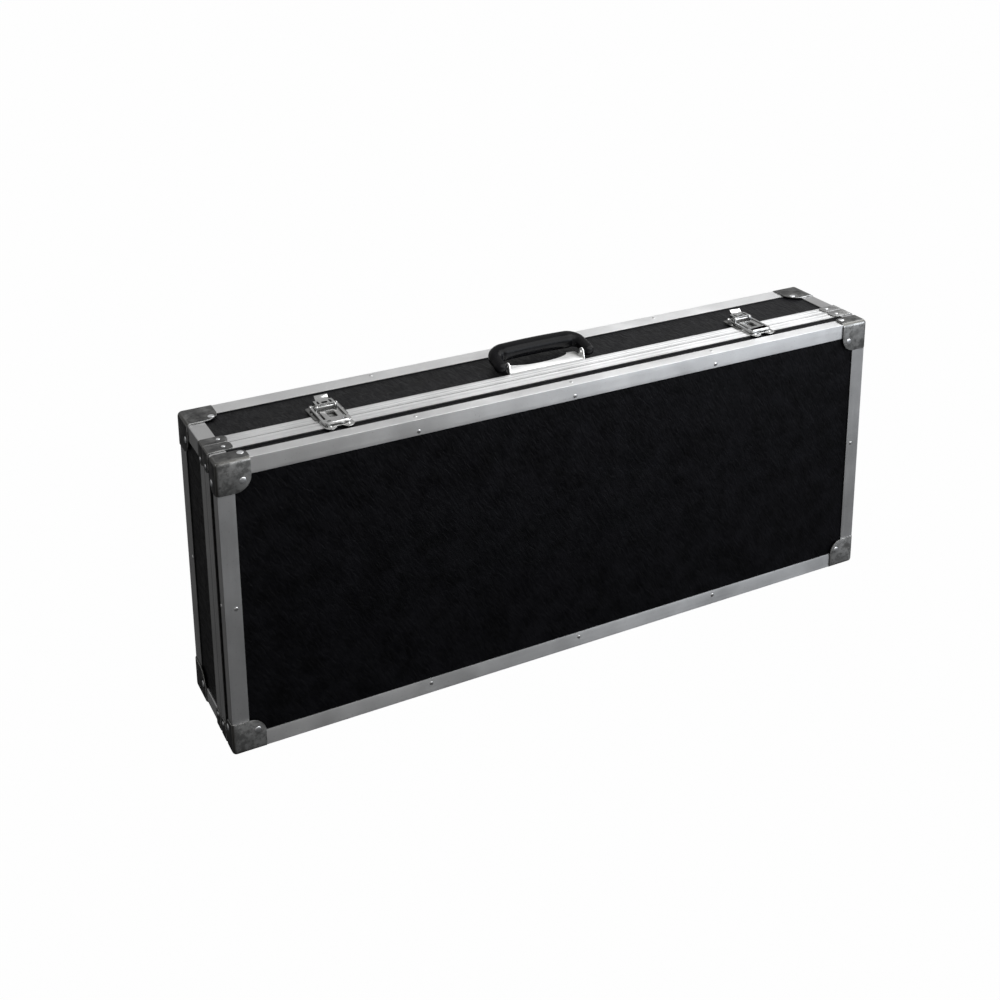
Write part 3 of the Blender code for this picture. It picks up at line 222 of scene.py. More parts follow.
class Shader(Nodes):
    """A Principled material whose nodes are added by short calls."""

    def __init__(self, name, colour, roughness, metallic=0.0):
        super().__init__(bpy.data.materials.new(name))
        self.shader = self.tree.nodes["Principled BSDF"]
        self.set(Base_Color=(*colour, 1), Roughness=roughness, Metallic=metallic)
        places = self.add("ShaderNodeTexCoord")
        self.coordinates = places["Object"]
        self.normals = places["Normal"]
        self.height = None

    def feed(self, socket, value):
        """A link into one of the shader's own sockets."""
        self.tree.links.new(value, self.shader.inputs[socket])

    def set(self, **sockets):
        """Constant values of the shader's own sockets."""
        for name, value in sockets.items():
            self.shader.inputs[name.replace("_", " ")].default_value = value

    def stretched(self, scale, turn=(0, 0, 0)):
        """Object coordinates, in metres, turned and then scaled along each axis, or all three."""
        if isinstance(scale, (int, float)):
            scale = (scale, scale, scale)
        angles = [math.radians(angle) for angle in turn]
        turned = self.add("ShaderNodeMapping", {"Vector": self.coordinates, "Rotation": angles})
        return self.add("ShaderNodeMapping", {"Vector": turned["Vector"], "Scale": scale})["Vector"]

    def noise(self, scale, detail=4.0, turn=(0, 0, 0), rough=0.5, distort=0.0):
        """A noise value with so many spots a metre along each axis."""
        inputs = {
            "Vector": self.stretched(scale, turn), "Scale": 1.0, "Detail": detail,
            "Roughness": rough, "Distortion": distort}
        return self.add("ShaderNodeTexNoise", inputs)["Fac"]

    def cells(self, scale, feature="DISTANCE_TO_EDGE"):
        """Distance inside irregular cells, so many a metre along each axis."""
        inputs = {"Vector": self.stretched(scale), "Scale": 1.0, "Randomness": 1.0}
        return self.add("ShaderNodeTexVoronoi", inputs, feature=feature)["Distance"]

    def with_normal(self, operation, vector):
        """A vector put together with the surface's own normal."""
        inputs = {0: vector, 1: self.add("ShaderNodeNewGeometry")["Normal"]}
        return self.add("ShaderNodeVectorMath", inputs, operation=operation)

    def edge_wear(self, width):
        """A value near 1 on worn outer edges and 0 on flat faces."""
        bevel = self.add("ShaderNodeBevel", {"Radius": width}, samples=WEAR_SAMPLES)
        likeness = self.with_normal("DOT_PRODUCT", bevel["Normal"])["Value"]
        return self.remap(likeness, 1.0, 1.0 - WEAR_SHARPNESS)

    def facing(self, axis):
        """How squarely the surface faces along one of the piece's axes, 0 to 1."""
        split = self.add("ShaderNodeSeparateXYZ", {"Vector": self.normals})
        return self.math("ABSOLUTE", split[axis], 0.0)

    def squarely(self, axis):
        """1 on faces that look along one of the piece's axes, and 0 on slanted ones."""
        return self.remap(self.facing(axis), SLANTED, SQUARE)

    def colours(self, value, low_colour, high_colour):
        """Base colour mixed between two by a value. None stands for the colour there so far."""
        socket = self.shader.inputs["Base Color"]
        low = socket.links[0].from_socket if low_colour is None else (*low_colour, 1)
        inputs = {"Factor": value, "A": low, "B": (*high_colour, 1)}
        self.feed("Base Color", self.add("ShaderNodeMix", inputs, data_type="RGBA")["Result"])

    def roughness(self, value, low, high, span=NOISE_SPAN):
        """Roughness between two values, over a span of another."""
        self.feed("Roughness", self.remap(value, *span, low, high))

    def bump(self, value, distance, strength=1.0):
        """A relief of so many metres from a value, on top of what is there."""
        inputs = {"Distance": distance, "Strength": strength, "Height": value}
        if self.height is not None:
            inputs["Normal"] = self.height
        self.height = self.add("ShaderNodeBump", inputs)["Normal"]
        self.feed("Normal", self.height)

    def along(self, axis):
        """Brushing along an axis of the piece: the gloss spreads across the lines."""
        direction = self.add(
            "ShaderNodeVectorTransform", {"Vector": axis},
            vector_type="VECTOR", convert_from="OBJECT", convert_to="WORLD")
        self.feed("Tangent", self.with_normal("CROSS_PRODUCT", direction["Vector"])["Vector"])


# Finishes: each is a material and the name of a slot, a name that nothing here uses

DULLED = 0.86


def leatherette():
    """Black covering with a fine pressed grain, wrinkled along a slant."""
    made = Shader("leatherette", (0.012, 0.012, 0.013), 0.5)
    wrinkles = made.noise((70, 60, 230), detail=3, turn=(0, -60, 0), distort=0.8)
    grain = made.cells(900)
    patches = made.noise(42, detail=5, rough=0.6)
    made.colours(made.remap(patches, 0.34, 0.66), (0.0008, 0.0008, 0.0013), (0.0048, 0.0048, 0.0062))
    made.roughness(wrinkles, 0.36, 0.56)
    made.bump(wrinkles, 0.0011, 1.0)
    made.bump(made.remap(grain, 0.0, 0.35), 0.00012, 0.5)
    made.set(Specular_IOR_Level=0.16)
    return made.owner, "black_covering"


def aluminium(name, axis, bright=0.80, rough=0.36, stretch=0.75):
    """Satin drawn aluminium: fine lines along the profile, patches, nicks, and end faces darkened as
    painted shade.
    """
    made = Shader(name, grey(bright), 0.42, 1.0)
    lines = made.noise([2600.0 if part == 0 else 3.0 for part in axis], detail=2)
    broad = made.noise([260.0 if part == 0 else 1.5 for part in axis], detail=2)
    patches = made.noise(14, detail=5, rough=0.62)
    nicks = made.remap(made.noise(420, detail=1), 0.70, 0.78)
    made.colours(made.remap(patches, *NOISE_SPAN), grey(DULLED * bright), grey(bright))
    made.colours(made.math("MULTIPLY", nicks, 0.35), None, grey(0.42))
    # Faces that look along X, the case's end faces, are darkened: painted shade.
    made.colours(made.math("MULTIPLY", made.squarely("X"), 0.6), None, grey(0.33))
    blend = made.math("ADD", made.math("MULTIPLY", lines, 0.6), made.math("MULTIPLY", patches, 0.4))
    made.roughness(blend, rough, rough + 0.14)
    made.bump(lines, 0.00002, 0.35)
    made.bump(broad, 0.00006, 0.25)
    made.set(Anisotropic=stretch)
    made.along(axis)
    return made.owner, "aluminium"


def gunmetal(name, top_shade):
    """Dark plated pressed steel: tops, end faces and folds darkened as painted shade, edges rubbed
    bright, vertices brightened as wear and a painted highlight.
    """
    made = Shader(name, grey(0.4), 0.45, 0.85)
    clouds = made.noise(70, detail=6, rough=0.6)
    specks = made.noise(1400, detail=2)
    made.colours(made.remap(clouds, 0.3, 0.72), (0.40, 0.40, 0.395), (0.64, 0.64, 0.63))
    # Faces square to Z, tops and undersides, are darkened in patches: painted shade.
    top_shade_patches = made.remap(clouds, 0.36, 0.64, 1.0, 0.66)
    made.colours(made.math("MULTIPLY", made.squarely("Z"), top_shade_patches), None, grey(top_shade))
    # Faces that look along X, the end faces, are darkened nearly to black: painted shade.
    made.colours(made.squarely("X"), None, (0.045, 0.045, 0.046))
    flatness = made.facing("X")
    for axis in ("Y", "Z"):
        flatness = made.math("MAXIMUM", flatness, made.facing(axis))
    # Slanted faces, the rounded folds, are darkened: painted shade that damps the lamps' reflection
    # in them.
    made.colours(made.remap(flatness, SQUARE, SLANTED), None, (0.11, 0.108, 0.10))
    # Edges are brightened as wear; the vertices, where three folds meet, are brightened as wear and a
    # painted highlight.
    worn_edges_and_vertex_glint = made.math("MAXIMUM", made.edge_wear(0.0008), made.remap(flatness, 0.70, 0.62))
    made.colours(worn_edges_and_vertex_glint, None, (0.70, 0.695, 0.68))
    scuffs = made.remap(made.noise(110, detail=5, rough=0.65), 0.47, 0.60, 0.0, 0.65)
    made.colours(scuffs, None, (0.15, 0.15, 0.145))
    made.roughness(clouds, 0.34, 0.50)
    made.bump(specks, 0.00002, 0.4)
    made.bump(clouds, 0.0004, 0.25)
    return made.owner, "dark_steel"


def chrome(name, colour, low, high):
    """Bright plated steel with faint smears and pitting."""
    made = Shader(name, colour, low, 1.0)
    smears = made.noise(60, detail=4, rough=0.6)
    ripples = made.noise(240, detail=2)
    made.colours(made.remap(smears, 0.35, 0.75), colour, [DULLED * part for part in colour])
    made.roughness(smears, low, high)
    made.bump(smears, 0.0006, 0.6)
    made.bump(ripples, 0.00012, 0.5)
    return made.owner, "chrome"


def plastic():
    """Moulded black plastic, half gloss, with a very fine texture."""
    made = Shader("black_plastic", (0.007, 0.007, 0.008), 0.3)
    pebbles = made.noise(1500, detail=2)
    wear = made.noise(38, detail=4, rough=0.6)
    made.colours(made.remap(wear, *NOISE_SPAN), (0.004, 0.004, 0.0045), (0.007, 0.007, 0.008))
    made.roughness(wear, 0.22, 0.32)
    made.bump(pebbles, 0.00003, 0.4)
    made.set(Specular_IOR_Level=0.11)
    return made.owner, "black_plastic"


def foam():
    """Dark grey foam with a felted face."""
    made = Shader("foam_lining", (0.05, 0.05, 0.055), 0.95)
    fibres = made.noise(900, detail=5, rough=0.7)
    pores = made.cells(650)
    made.colours(made.remap(fibres, *NOISE_SPAN), (0.034, 0.034, 0.038), (0.068, 0.068, 0.074))
    made.roughness(fibres, 0.85, 1.0)
    made.bump(made.remap(pores, 0.0, 0.4), 0.0003, 0.6)
    made.bump(fibres, 0.0003, 0.5)
    made.set(Sheen_Weight=0.3, Sheen_Roughness=0.5)
    return made.owner, "foam"


def zinc():
    """Zinc plated steel with a faint spangle."""
    made = Shader("zinc_steel", (0.46, 0.46, 0.45), 0.34, 1.0)
    spangle = made.cells(160, feature="F1")
    made.colours(made.remap(spangle, *CELL_SPAN), (0.50, 0.50, 0.49), (0.38, 0.38, 0.37))
    made.roughness(spangle, 0.28, 0.42, CELL_SPAN)
    made.bump(spangle, 0.00004, 0.3)
    return made.owner, "zinc_steel"


def cut_edge():
    """Sawn edge of a profile: rough and dark, with darker and lighter blotches."""
    made = Shader("cut_edge", (0.05, 0.05, 0.05), 0.7, 0.4)
    blotches = made.noise(300, detail=4, rough=0.6)
    made.colours(made.remap(blotches, *NOISE_SPAN), (0.02, 0.02, 0.02), (0.10, 0.10, 0.098))
    made.roughness(blotches, 0.6, 0.85)
    made.bump(blotches, 0.0001, 0.4)
    return made.owner, "aluminium"


def brushed_steel():
    """Bright steel plate, brushed along its length."""
    made = Shader("brushed_steel", (0.92, 0.92, 0.91), 0.45, 1.0)
    lines = made.noise((4, 3200, 3200), detail=2)
    smears = made.noise(45, detail=4, rough=0.6)
    made.colours(made.remap(smears, 0.35, 0.75), (0.94, 0.94, 0.93), (0.85, 0.85, 0.84))
    made.roughness(smears, 0.42, 0.54)
    made.bump(lines, 0.00001, 0.3)
    made.set(Anisotropic=0.75)
    made.along((1, 0, 0))
    return made.owner, "chrome"


LEATHERETTE = leatherette()
ALUMINIUM = {
    "X": aluminium("aluminium_along_x", (1, 0, 0)),
    "Y": aluminium("aluminium_along_y", (0, 1, 0)),
    # The upright bars take a brighter colour than the long bars, 0.92 against 0.80: painted light on
    # the same aluminium.
    "Z": aluminium("aluminium_along_z", (0, 0, 1), 0.92, 0.46, 0.35),
}
# Corners: faces square to Z darkened nearly to black, painted shade.
GUNMETAL = gunmetal("gunmetal", 0.045)
# Right braces: faces square to Z darkened only to 0.34, a fainter painted shade.
BRACE_STEEL = {"left": GUNMETAL, "right": gunmetal("wiped_gunmetal", 0.34)}
CHROME = chrome("chrome", (0.64, 0.64, 0.635), 0.10, 0.24)
# Darker nickel for the latch bases, which lie under the levers: painted shade.
SHADED_NICKEL = chrome("dull_nickel", (0.24, 0.24, 0.235), 0.22, 0.36)
RIVET_STEEL = chrome("rivet_steel", (0.74, 0.74, 0.735), 0.28, 0.42)
CORNER_RIVET_STEEL = chrome("corner_rivet_steel", (0.92, 0.93, 0.94), 0.34, 0.46)
CUT_EDGE = cut_edge()
BRUSHED_STEEL = brushed_steel()
PLASTIC = plastic()
FOAM = foam()
ZINC = zinc()


# Mesh tools

ROD_SIDES = 24
SMOOTH_ANGLE = 40
BEVEL_STEPS = 2


def arc(centre, radius, start, end, steps):
    """Points on an arc, from one angle to another, both included."""
    angles = [math.radians(start + (end - start) * i / steps) for i in range(steps + 1)]
    return [(centre[0] + radius * math.cos(a), centre[1] + radius * math.sin(a)) for a in angles]


def circle(centre, radius, sides):
    """A closed round outline."""
    return arc(centre, radius, 0, 360, sides)[:-1]


def rounded_rectangle(half_x, half_y, radius, steps):
    """An outline about the origin with four rounded corners."""
    points = []
    for quarter, (x, y) in enumerate(((1, 1), (-1, 1), (-1, -1), (1, -1))):
        centre = (x * (half_x - radius), y * (half_y - radius))
        points += arc(centre, radius, 90 * quarter, 90 * (quarter + 1), steps)
    return points


def face_out(shape):
    """Turn every face of each separate solid outwards."""
    bmesh.ops.recalc_face_normals(shape, faces=shape.faces)
    shape.normal_update()
    reached = set()
    for seed in shape.faces:
        if seed in reached:
            continue
        solid = [seed]
        reached.add(seed)
        for face in solid:
            for edge in face.edges:
                fresh = [other for other in edge.link_faces if other not in reached]
                reached.update(fresh)
                solid += fresh
        volume = sum(face.calc_area() * face.normal.dot(face.calc_center_median()) for face in solid)
        if volume < 0:
            bmesh.ops.reverse_faces(shape, faces=solid)


def new_object(name, data):
    """An object in the scene."""
    obj = bpy.data.objects.new(name, data)
    bpy.context.scene.collection.objects.link(obj)
    return obj


def loose_object(shape, name="helper"):
    """A plain object for a bmesh, which is freed."""
    mesh = bpy.data.meshes.new(name)
    shape.to_mesh(mesh)
    shape.free()
    return new_object(name, mesh)


def from_evaluated(obj):
    """A bmesh of an object as its modifiers leave it, with the object removed."""
    bpy.context.view_layer.update()
    depsgraph = bpy.context.evaluated_depsgraph_get()
    mesh = bpy.data.meshes.new_from_object(obj.evaluated_get(depsgraph))
    mesh.transform(obj.matrix_world)
    shape = bmesh.new()
    shape.from_mesh(mesh)
    bmesh.ops.remove_doubles(shape, verts=shape.verts, dist=WELD)
    bpy.data.objects.remove(obj, do_unlink=True)
    bpy.data.meshes.remove(mesh)
    return shape


def prism(outlines, length):
    """A prism about the origin: outlines in X and Y, the later ones holes, drawn out along Z."""
    curve = bpy.data.curves.new("outline", "CURVE")
    curve.dimensions = "2D"
    curve.fill_mode = "BOTH"
    curve.extrude = length / 2
    for outline in outlines:
        spline = curve.splines.new("POLY")
        spline.points.add(len(outline) - 1)
        spline.use_cyclic_u = True
        for point, (x, y) in zip(spline.points, outline):
            point.co = (x, y, 0, 1)
    shape = from_evaluated(new_object("outline", curve))
    bpy.data.curves.remove(curve)
    return shape


def sheet(outlines, low, high, axis=ALONG_Z):
    """A prism from low to high along its axis."""
    shape = prism(outlines, high - low)
    bmesh.ops.translate(shape, verts=shape.verts, vec=(0, 0, (low + high) / 2))
    shape.transform(axis)
    face_out(shape)
    return shape


def block(low, high):
    """A box between two corners."""
    shape = bmesh.new()
    bmesh.ops.create_cube(shape, size=1)
    size = [b - a for a, b in zip(low, high)]
    middle = [(a + b) / 2 for a, b in zip(low, high)]
    bmesh.ops.scale(shape, verts=shape.verts, vec=size)
    bmesh.ops.translate(shape, verts=shape.verts, vec=middle)
    return shape


def rod(radius, low, high, y, z):
    """A round rod along X."""
    return sheet([circle((y, z), radius, ROD_SIDES)], low, high, ALONG_X)


def cut(base, tools):
    """A solid with each of the tools taken out of it."""
    obj = loose_object(base)
    helpers = [loose_object(tool) for tool in tools]
    for helper in helpers:
        modifier = obj.modifiers.new("boolean", "BOOLEAN")
        modifier.operation = "DIFFERENCE"
        modifier.solver = "EXACT"
        modifier.object = helper
    shape = from_evaluated(obj)
    for helper in helpers:
        bpy.data.objects.remove(helper, do_unlink=True)
    bmesh.ops.dissolve_degenerate(shape, edges=shape.edges, dist=WELD)
    return shape


def add_bevel(obj, width, angle, miter="MITER_SHARP"):
    """A small bevel on the edges of an object that are sharper than an angle."""
    modifier = obj.modifiers.new("bevel", "BEVEL")
    modifier.width = width
    modifier.segments = BEVEL_STEPS
    modifier.limit_method = "ANGLE"
    modifier.angle_limit = math.radians(angle)
    modifier.miter_outer = miter


def bridge(shape, rings, closed=True):
    """Four-sided faces between each ring or row of vertices and the next."""
    for near, far in zip(rings, rings[1:]):
        count = len(near)
        for i in range(count if closed else count - 1):
            j = (i + 1) % count
            shape.faces.new((near[i], near[j], far[j], far[i]))


def piece(name, shape, finish, body, replaced=(), smooth=SMOOTH_ANGLE):
    """A shown piece that rides on a body and stands for CAD nodes."""
    face_out(shape)
    obj = loose_object(shape, name)
    material, slot = finish
    obj.data.materials.append(material)
    obj.data.shade_smooth()
    obj.data.set_sharp_from_angle(angle=math.radians(smooth))
    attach(obj, body)
    if replaced:
        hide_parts(*replaced)
    return obj


def bisected(shape, point, normal, clear=False):
    """Cut a mesh along a plane, clear what lies beyond it or not, and give what is on the cut."""
    everything = shape.verts[:] + shape.edges[:] + shape.faces[:]
    result = bmesh.ops.bisect_plane(
        shape, geom=everything, plane_co=point, plane_no=normal, clear_outer=clear)
    return result["geom_cut"]


def trim(shape, point, normal):
    """Cut away what lies beyond a plane from a solid, and close the cut."""
    on_cut = bisected(shape, point, normal, clear=True)
    rim = [item for item in on_cut if isinstance(item, bmesh.types.BMEdge)]
    bmesh.ops.holes_fill(shape, edges=rim, sides=0)


# Camera, light and stage

CAMERA_PLACE = Vector((-0.891786, -1.595120, 1.171260))
CAMERA_RIGHT = Vector((0.888578, -0.458660, -0.007760))
CAMERA_DOWN = Vector((-0.127432, -0.230557, -0.964679))
CAMERA_FORWARD = Vector((0.440670, 0.858181, -0.263316))
CAMERA_LENS = 50.567
CAMERA_SENSOR = 36.0
CAMERA_SHIFT_Y = -0.32172
FLOOR_Z = -0.45
FLOOR_HALF_SIZE = 20


def make_camera():
    """The photograph's view."""
    data = bpy.data.cameras.new("camera")
    data.lens = CAMERA_LENS
    data.sensor_width = CAMERA_SENSOR
    data.shift_y = CAMERA_SHIFT_Y
    camera = new_object("camera", data)
    turn = Matrix((CAMERA_RIGHT, -CAMERA_DOWN, -CAMERA_FORWARD)).transposed().to_4x4()
    camera.matrix_world = Matrix.Translation(CAMERA_PLACE) @ turn
    bpy.context.scene.camera = camera


def area_lamp(name, place, target, size, power, tint):
    """A softbox that faces its target."""
    data = bpy.data.lights.new(name, "AREA")
    data.shape = "RECTANGLE"
    data.size, data.size_y = size
    data.energy = power
    data.color = tint
    lamp = new_object(name, data)
    lamp.location = place
    lamp.rotation_mode = "QUATERNION"
    lamp.rotation_quaternion = (Vector(target) - Vector(place)).to_track_quat("-Z", "Y")


# Height and grey level of the world's light, from straight down to straight up
WORLD_STOPS = ((0.0, 0.03), (0.48, 0.05), (0.56, 0.13), (0.75, 0.24), (1.0, 0.30))
WORLD_GLOSSY_SHARE = 0.30
# Floor colour near the case and far off, and the distances between them: a painted shadow round the
# case.
FLOOR_SHADOW_COLOURS = (0.02, 0.145)
FLOOR_SHADOW_REACHES = (0.9, 1.8)
FLOOR_GLOSSY_SHARE = 0.03
FLOOR_CAMERA_SHARE = 0.99

# Name, place, target, size, watts and tint of each softbox
LAMPS = (
    ("softbox_above", (0.45, -0.45, 1.15), (0.10, -0.05, 0.40), (1.7, 0.9), 12.5, (1, 1, 1)),
    ("softbox_right", (1.7, 0.3, 1.0), (0.3, 0.0, 0.4), (0.8, 0.8), 5, (1, 1, 1)),
    ("softbox_front", (1.25, -1.2, 0.85), (0.5, -0.08, 0.35), (1.3, 0.8), 12, (0.88, 0.93, 1.0)),
)


def make_world():
    """A studio that is white to the eye, brighter above than below where it lights the case."""
    made = Nodes(bpy.data.worlds.new("studio"))
    bpy.context.scene.world = made.owner
    light = made.tree.nodes["Background"]
    direction = made.add("ShaderNodeTexCoord")["Generated"]
    split = made.add("ShaderNodeSeparateXYZ", {"Vector": direction})
    ramp = made.add("ShaderNodeValToRGB", {"Fac": made.remap(split["Z"], -1.0, 1.0)})["Color"]
    stops = ramp.node.color_ramp.elements
    while len(stops) < len(WORLD_STOPS):
        stops.new(0.5)
    for stop, (place, value) in zip(stops, WORLD_STOPS):
        stop.position = place
        stop.color = (*grey(value), 1)
    made.tree.links.new(ramp, light.inputs["Color"])
    white = made.add("ShaderNodeBackground", {"Color": (1, 1, 1, 1)})["Background"]
    share = made.background_share(WORLD_GLOSSY_SHARE)
    made.show_mixed(share, light.outputs["Background"], white, "World Output")


def make_floor():
    """A wide pale floor, low enough for the open lid, with a painted shadow: its colour darker round
    the case, seen in reflections.
    """
    shape = bmesh.new()
    bmesh.ops.create_grid(shape, x_segments=4, y_segments=4, size=FLOOR_HALF_SIZE)
    bmesh.ops.translate(shape, verts=shape.verts, vec=(0, 0, FLOOR_Z))
    floor = loose_object(shape, "floor")
    made = Nodes(bpy.data.materials.new("pale_floor"))
    made.tree.nodes.remove(made.tree.nodes["Principled BSDF"])
    place = made.add("ShaderNodeTexCoord")["Object"]
    reach = made.add("ShaderNodeVectorMath", {0: place}, operation="LENGTH")["Value"]
    # Colour darkened round the case: a painted shadow.
    painted_shadow = made.remap(reach, *FLOOR_SHADOW_REACHES, *FLOOR_SHADOW_COLOURS)
    matt = made.add("ShaderNodeBsdfDiffuse", {"Color": painted_shadow})["BSDF"]
    white = made.add("ShaderNodeEmission")["Emission"]
    share = made.math("MULTIPLY", made.background_share(FLOOR_GLOSSY_SHARE), FLOOR_CAMERA_SHARE)
    made.show_mixed(share, matt, white, "Material Output")
    floor.data.materials.append(made.owner)


bpy.context.scene.view_settings.view_transform = "Standard"
make_camera()
make_world()
make_floor()
for lamp_values in LAMPS:
    area_lamp(*lamp_values)


# Edge profiles and closures

PROFILE_ANGLE = 12
DEPTH_EDGE_ANGLE = 30


def case_point(side, y, level):
    """A point of the case's outside, at a side and level of -1 or 1, or 0 for the middle."""
    return Vector((side * END_X, y, MIDDLE_Z + level * CASE_HEIGHT / 2))


def inward_matrix(side, y, level, depth_sign=1):
    """From distances inward along X and Z, and along Y by a sign, to the case."""
    signs = Matrix.Diagonal((-side, depth_sign, -level, 1))
    return Matrix.Translation(case_point(side, y, level)) @ signs


def ring_bar(section, direction, level, mitre_gap):
    """One bar of a ring round the case, mitred at both ends, with a section in inset and Y.

    direction is X for a long bar and Z for a short one, and level is its side, -1 or 1.
    """
    half = END_X if direction == "X" else CASE_HEIGHT / 2
    shape = prism([section], 2 * (half + OVERRUN))
    for end in (-1, 1):
        mitre = Vector((1, 0, end)).normalized()
        trim(shape, Vector((0, 0, end * half)) - mitre * mitre_gap / 2, mitre)
    if direction == "X":
        columns = ((0, 0, -level), (0, 1, 0), (1, 0, 0))
        place = case_point(0, 0, level)
    else:
        columns = ((-level, 0, 0), (0, 1, 0), (0, 0, 1))
        place = case_point(level, 0, 0)
    turn = Matrix(columns).transposed().to_4x4()
    shape.transform(Matrix.Translation(place) @ turn)
    return shape


def blunt_corners(shape):
    """Take a small slant off whatever reaches the case's long corners in depth."""
    for side in SIDES.values():
        for level in LEVELS.values():
            normal = Vector((side, 0, level)).normalized()
            trim(shape, case_point(side, 0, level) - normal * CORNER_TRIM / math.sqrt(2), normal)
    face_out(shape)
    return shape


def angle_outline(face_leg, side_leg, radius, slope, drop):
    """An angle profile, from its corner: its legs run out to slopes, and its fold is round."""
    outline = [(drop, side_leg), (0, side_leg - slope)]
    outline += arc((radius, radius), radius, 180, 270, ARC_STEPS)
    outline += [(face_leg - slope, 0), (face_leg, drop), (face_leg, EDGE_WALL)]
    return outline + [(EDGE_WALL, EDGE_WALL), (EDGE_WALL, side_leg)]


def edge_section(half):
    """Section of the edge profile round a half's face: inset, and Y."""
    outline = angle_outline(EDGE_FACE_LEG, SIDE_LEG[half], EDGE_ROUND, EDGE_SLOPE, EDGE_SLOPE_DROP)
    return [(inset, FACE_Y[half] + HALVES[half] * depth) for inset, depth in outline]


def closure_section(half, chamfer):
    """Section of a closure profile: the lid's with its tongue, or the body's with its groove."""
    away = -HALVES[half]
    start = PARTING_GAP / 2
    outline = [(chamfer, start), (0, chamfer)]
    for place in FLUTE_PLACES[half]:
        outline += [
            (0, place - FLUTE_HALF_WIDTH), (FLUTE_DEPTH, place), (0, place + FLUTE_HALF_WIDTH)]
    outline += [(0, CLOSURE_WIDTH - EDGE_LIP), (EDGE_LIP, CLOSURE_WIDTH)]
    outline += [(EDGE_WALL, CLOSURE_WIDTH), (EDGE_WALL, CLOSURE_SEAT), (CLOSURE_BLOCK, CLOSURE_SEAT)]
    outline += [(CLOSURE_BLOCK, start)]
    tongue_end = TONGUE_INSET + TONGUE_THICK
    if half == "lid":
        outline += [(tongue_end, start), (tongue_end, -TONGUE_REACH)]
        outline += [(TONGUE_INSET, -TONGUE_REACH), (TONGUE_INSET, start)]
    else:
        deep = TONGUE_REACH + GROOVE_END_CLEARANCE
        inner = tongue_end + GROOVE_INNER_CLEARANCE
        outer = TONGUE_INSET - GROOVE_OUTER_CLEARANCE
        outline += [(inner, start), (inner, deep), (outer, deep), (outer, start)]
    return [(inset, PARTING_Y + away * depth) for inset, depth in outline]


def dull_cut_edges(bar):
    """Give a profile's sawn edges, which face along the case's sides, their duller finish."""
    bar.data.materials.append(CUT_EDGE[0])
    low = Vector((-END_X, FRONT_Y, BOTTOM_Z))
    high = Vector((END_X, BACK_Y, TOP_Z))
    for face in bar.data.polygons:
        middle = face.center
        depths = [min(middle[axis] - low[axis], high[axis] - middle[axis]) for axis in range(3)]
        near = [axis for axis in range(3) if depths[axis] < EDGE_WALL]
        steep = max(range(3), key=lambda axis: abs(face.normal[axis]))
        if len(near) == 1 and steep not in near and min(depths) > CUT_EDGE_TOP:
            face.material_index = 1


def rivet_head(radius, rise):
    """A domed rivet head standing on its seat, about the origin."""
    shape = bmesh.new()
    rings = []
    for ring in range(RIVET_RINGS):
        angle = math.radians(90 * ring / RIVET_RINGS)
        reach = radius * math.cos(angle)
        height = rise * math.sin(angle)
        rings.append([shape.verts.new((x, y, height)) for x, y in circle((0, 0), reach, RIVET_SIDES)])
    rings.insert(0, [shape.verts.new((x, y, -SINK)) for x, y in circle((0, 0), radius, RIVET_SIDES)])
    bridge(shape, rings)
    top = shape.verts.new((0, 0, rise))
    for i in range(RIVET_SIDES):
        shape.faces.new((rings[-1][i], rings[-1][(i + 1) % RIVET_SIDES], top))
    shape.faces.new(rings[0][::-1])
    return shape


def rivets(name, places, body, radius=RIVET_RADIUS, rise=RIVET_HEIGHT, finish=RIVET_STEEL):
    """Rivet heads at places with normals, as one piece."""
    head = rivet_head(radius, rise)
    group = bmesh.new()
    for place, normal in places:
        mesh = bpy.data.meshes.new("head")
        head.to_mesh(mesh)
        turn = Vector(normal).to_track_quat("Z", "Y").to_matrix().to_4x4()
        mesh.transform(Matrix.Translation(place) @ turn)
        group.from_mesh(mesh)
        bpy.data.meshes.remove(mesh)
    head.free()
    piece(name, group, finish, body)


def bar_rivets(half, direction, level):
    """Places of the rivets along one edge profile, on both of its legs."""
    face_y = FACE_Y[half]
    inward = HALVES[half]
    if direction == "Z":
        edge_x = level * END_X
        z = MIDDLE_Z + SHORT_RIVET_RISE
        return [
            ((edge_x - level * SHORT_FACE_RIVET, face_y, z), (0, -inward, 0)),
            ((edge_x, face_y + inward * SHORT_SIDE_RIVET[half], z), (level, 0, 0))]
    edge_z = MIDDLE_Z + level * CASE_HEIGHT / 2
    places = []
    for share in LONG_RIVET_SHARES:
        x = share * 2 * END_X - level * LONG_RIVET_DRIFT
        places.append(((x, face_y, edge_z - level * LONG_FACE_RIVET[level]), (0, -inward, 0)))
        places.append(((x, face_y + inward * LONG_SIDE_RIVET[half], edge_z), (0, 0, level)))
    return places


def make_edges(half):
    """The four edge profiles round the lid's face or round the back, with their rivets."""
    section = edge_section(half)
    for name, direction, level in RING_SPANS:
        node = f"{EDGE_NAMES[half]}_{name}"
        bar = blunt_corners(ring_bar(section, direction, level, GAP))
        finish = ALUMINIUM[direction]
        dull_cut_edges(piece(node + "_profile", bar, finish, half, [node], PROFILE_ANGLE))
        rivets(node + "_rivets", bar_rivets(half, direction, level), half)


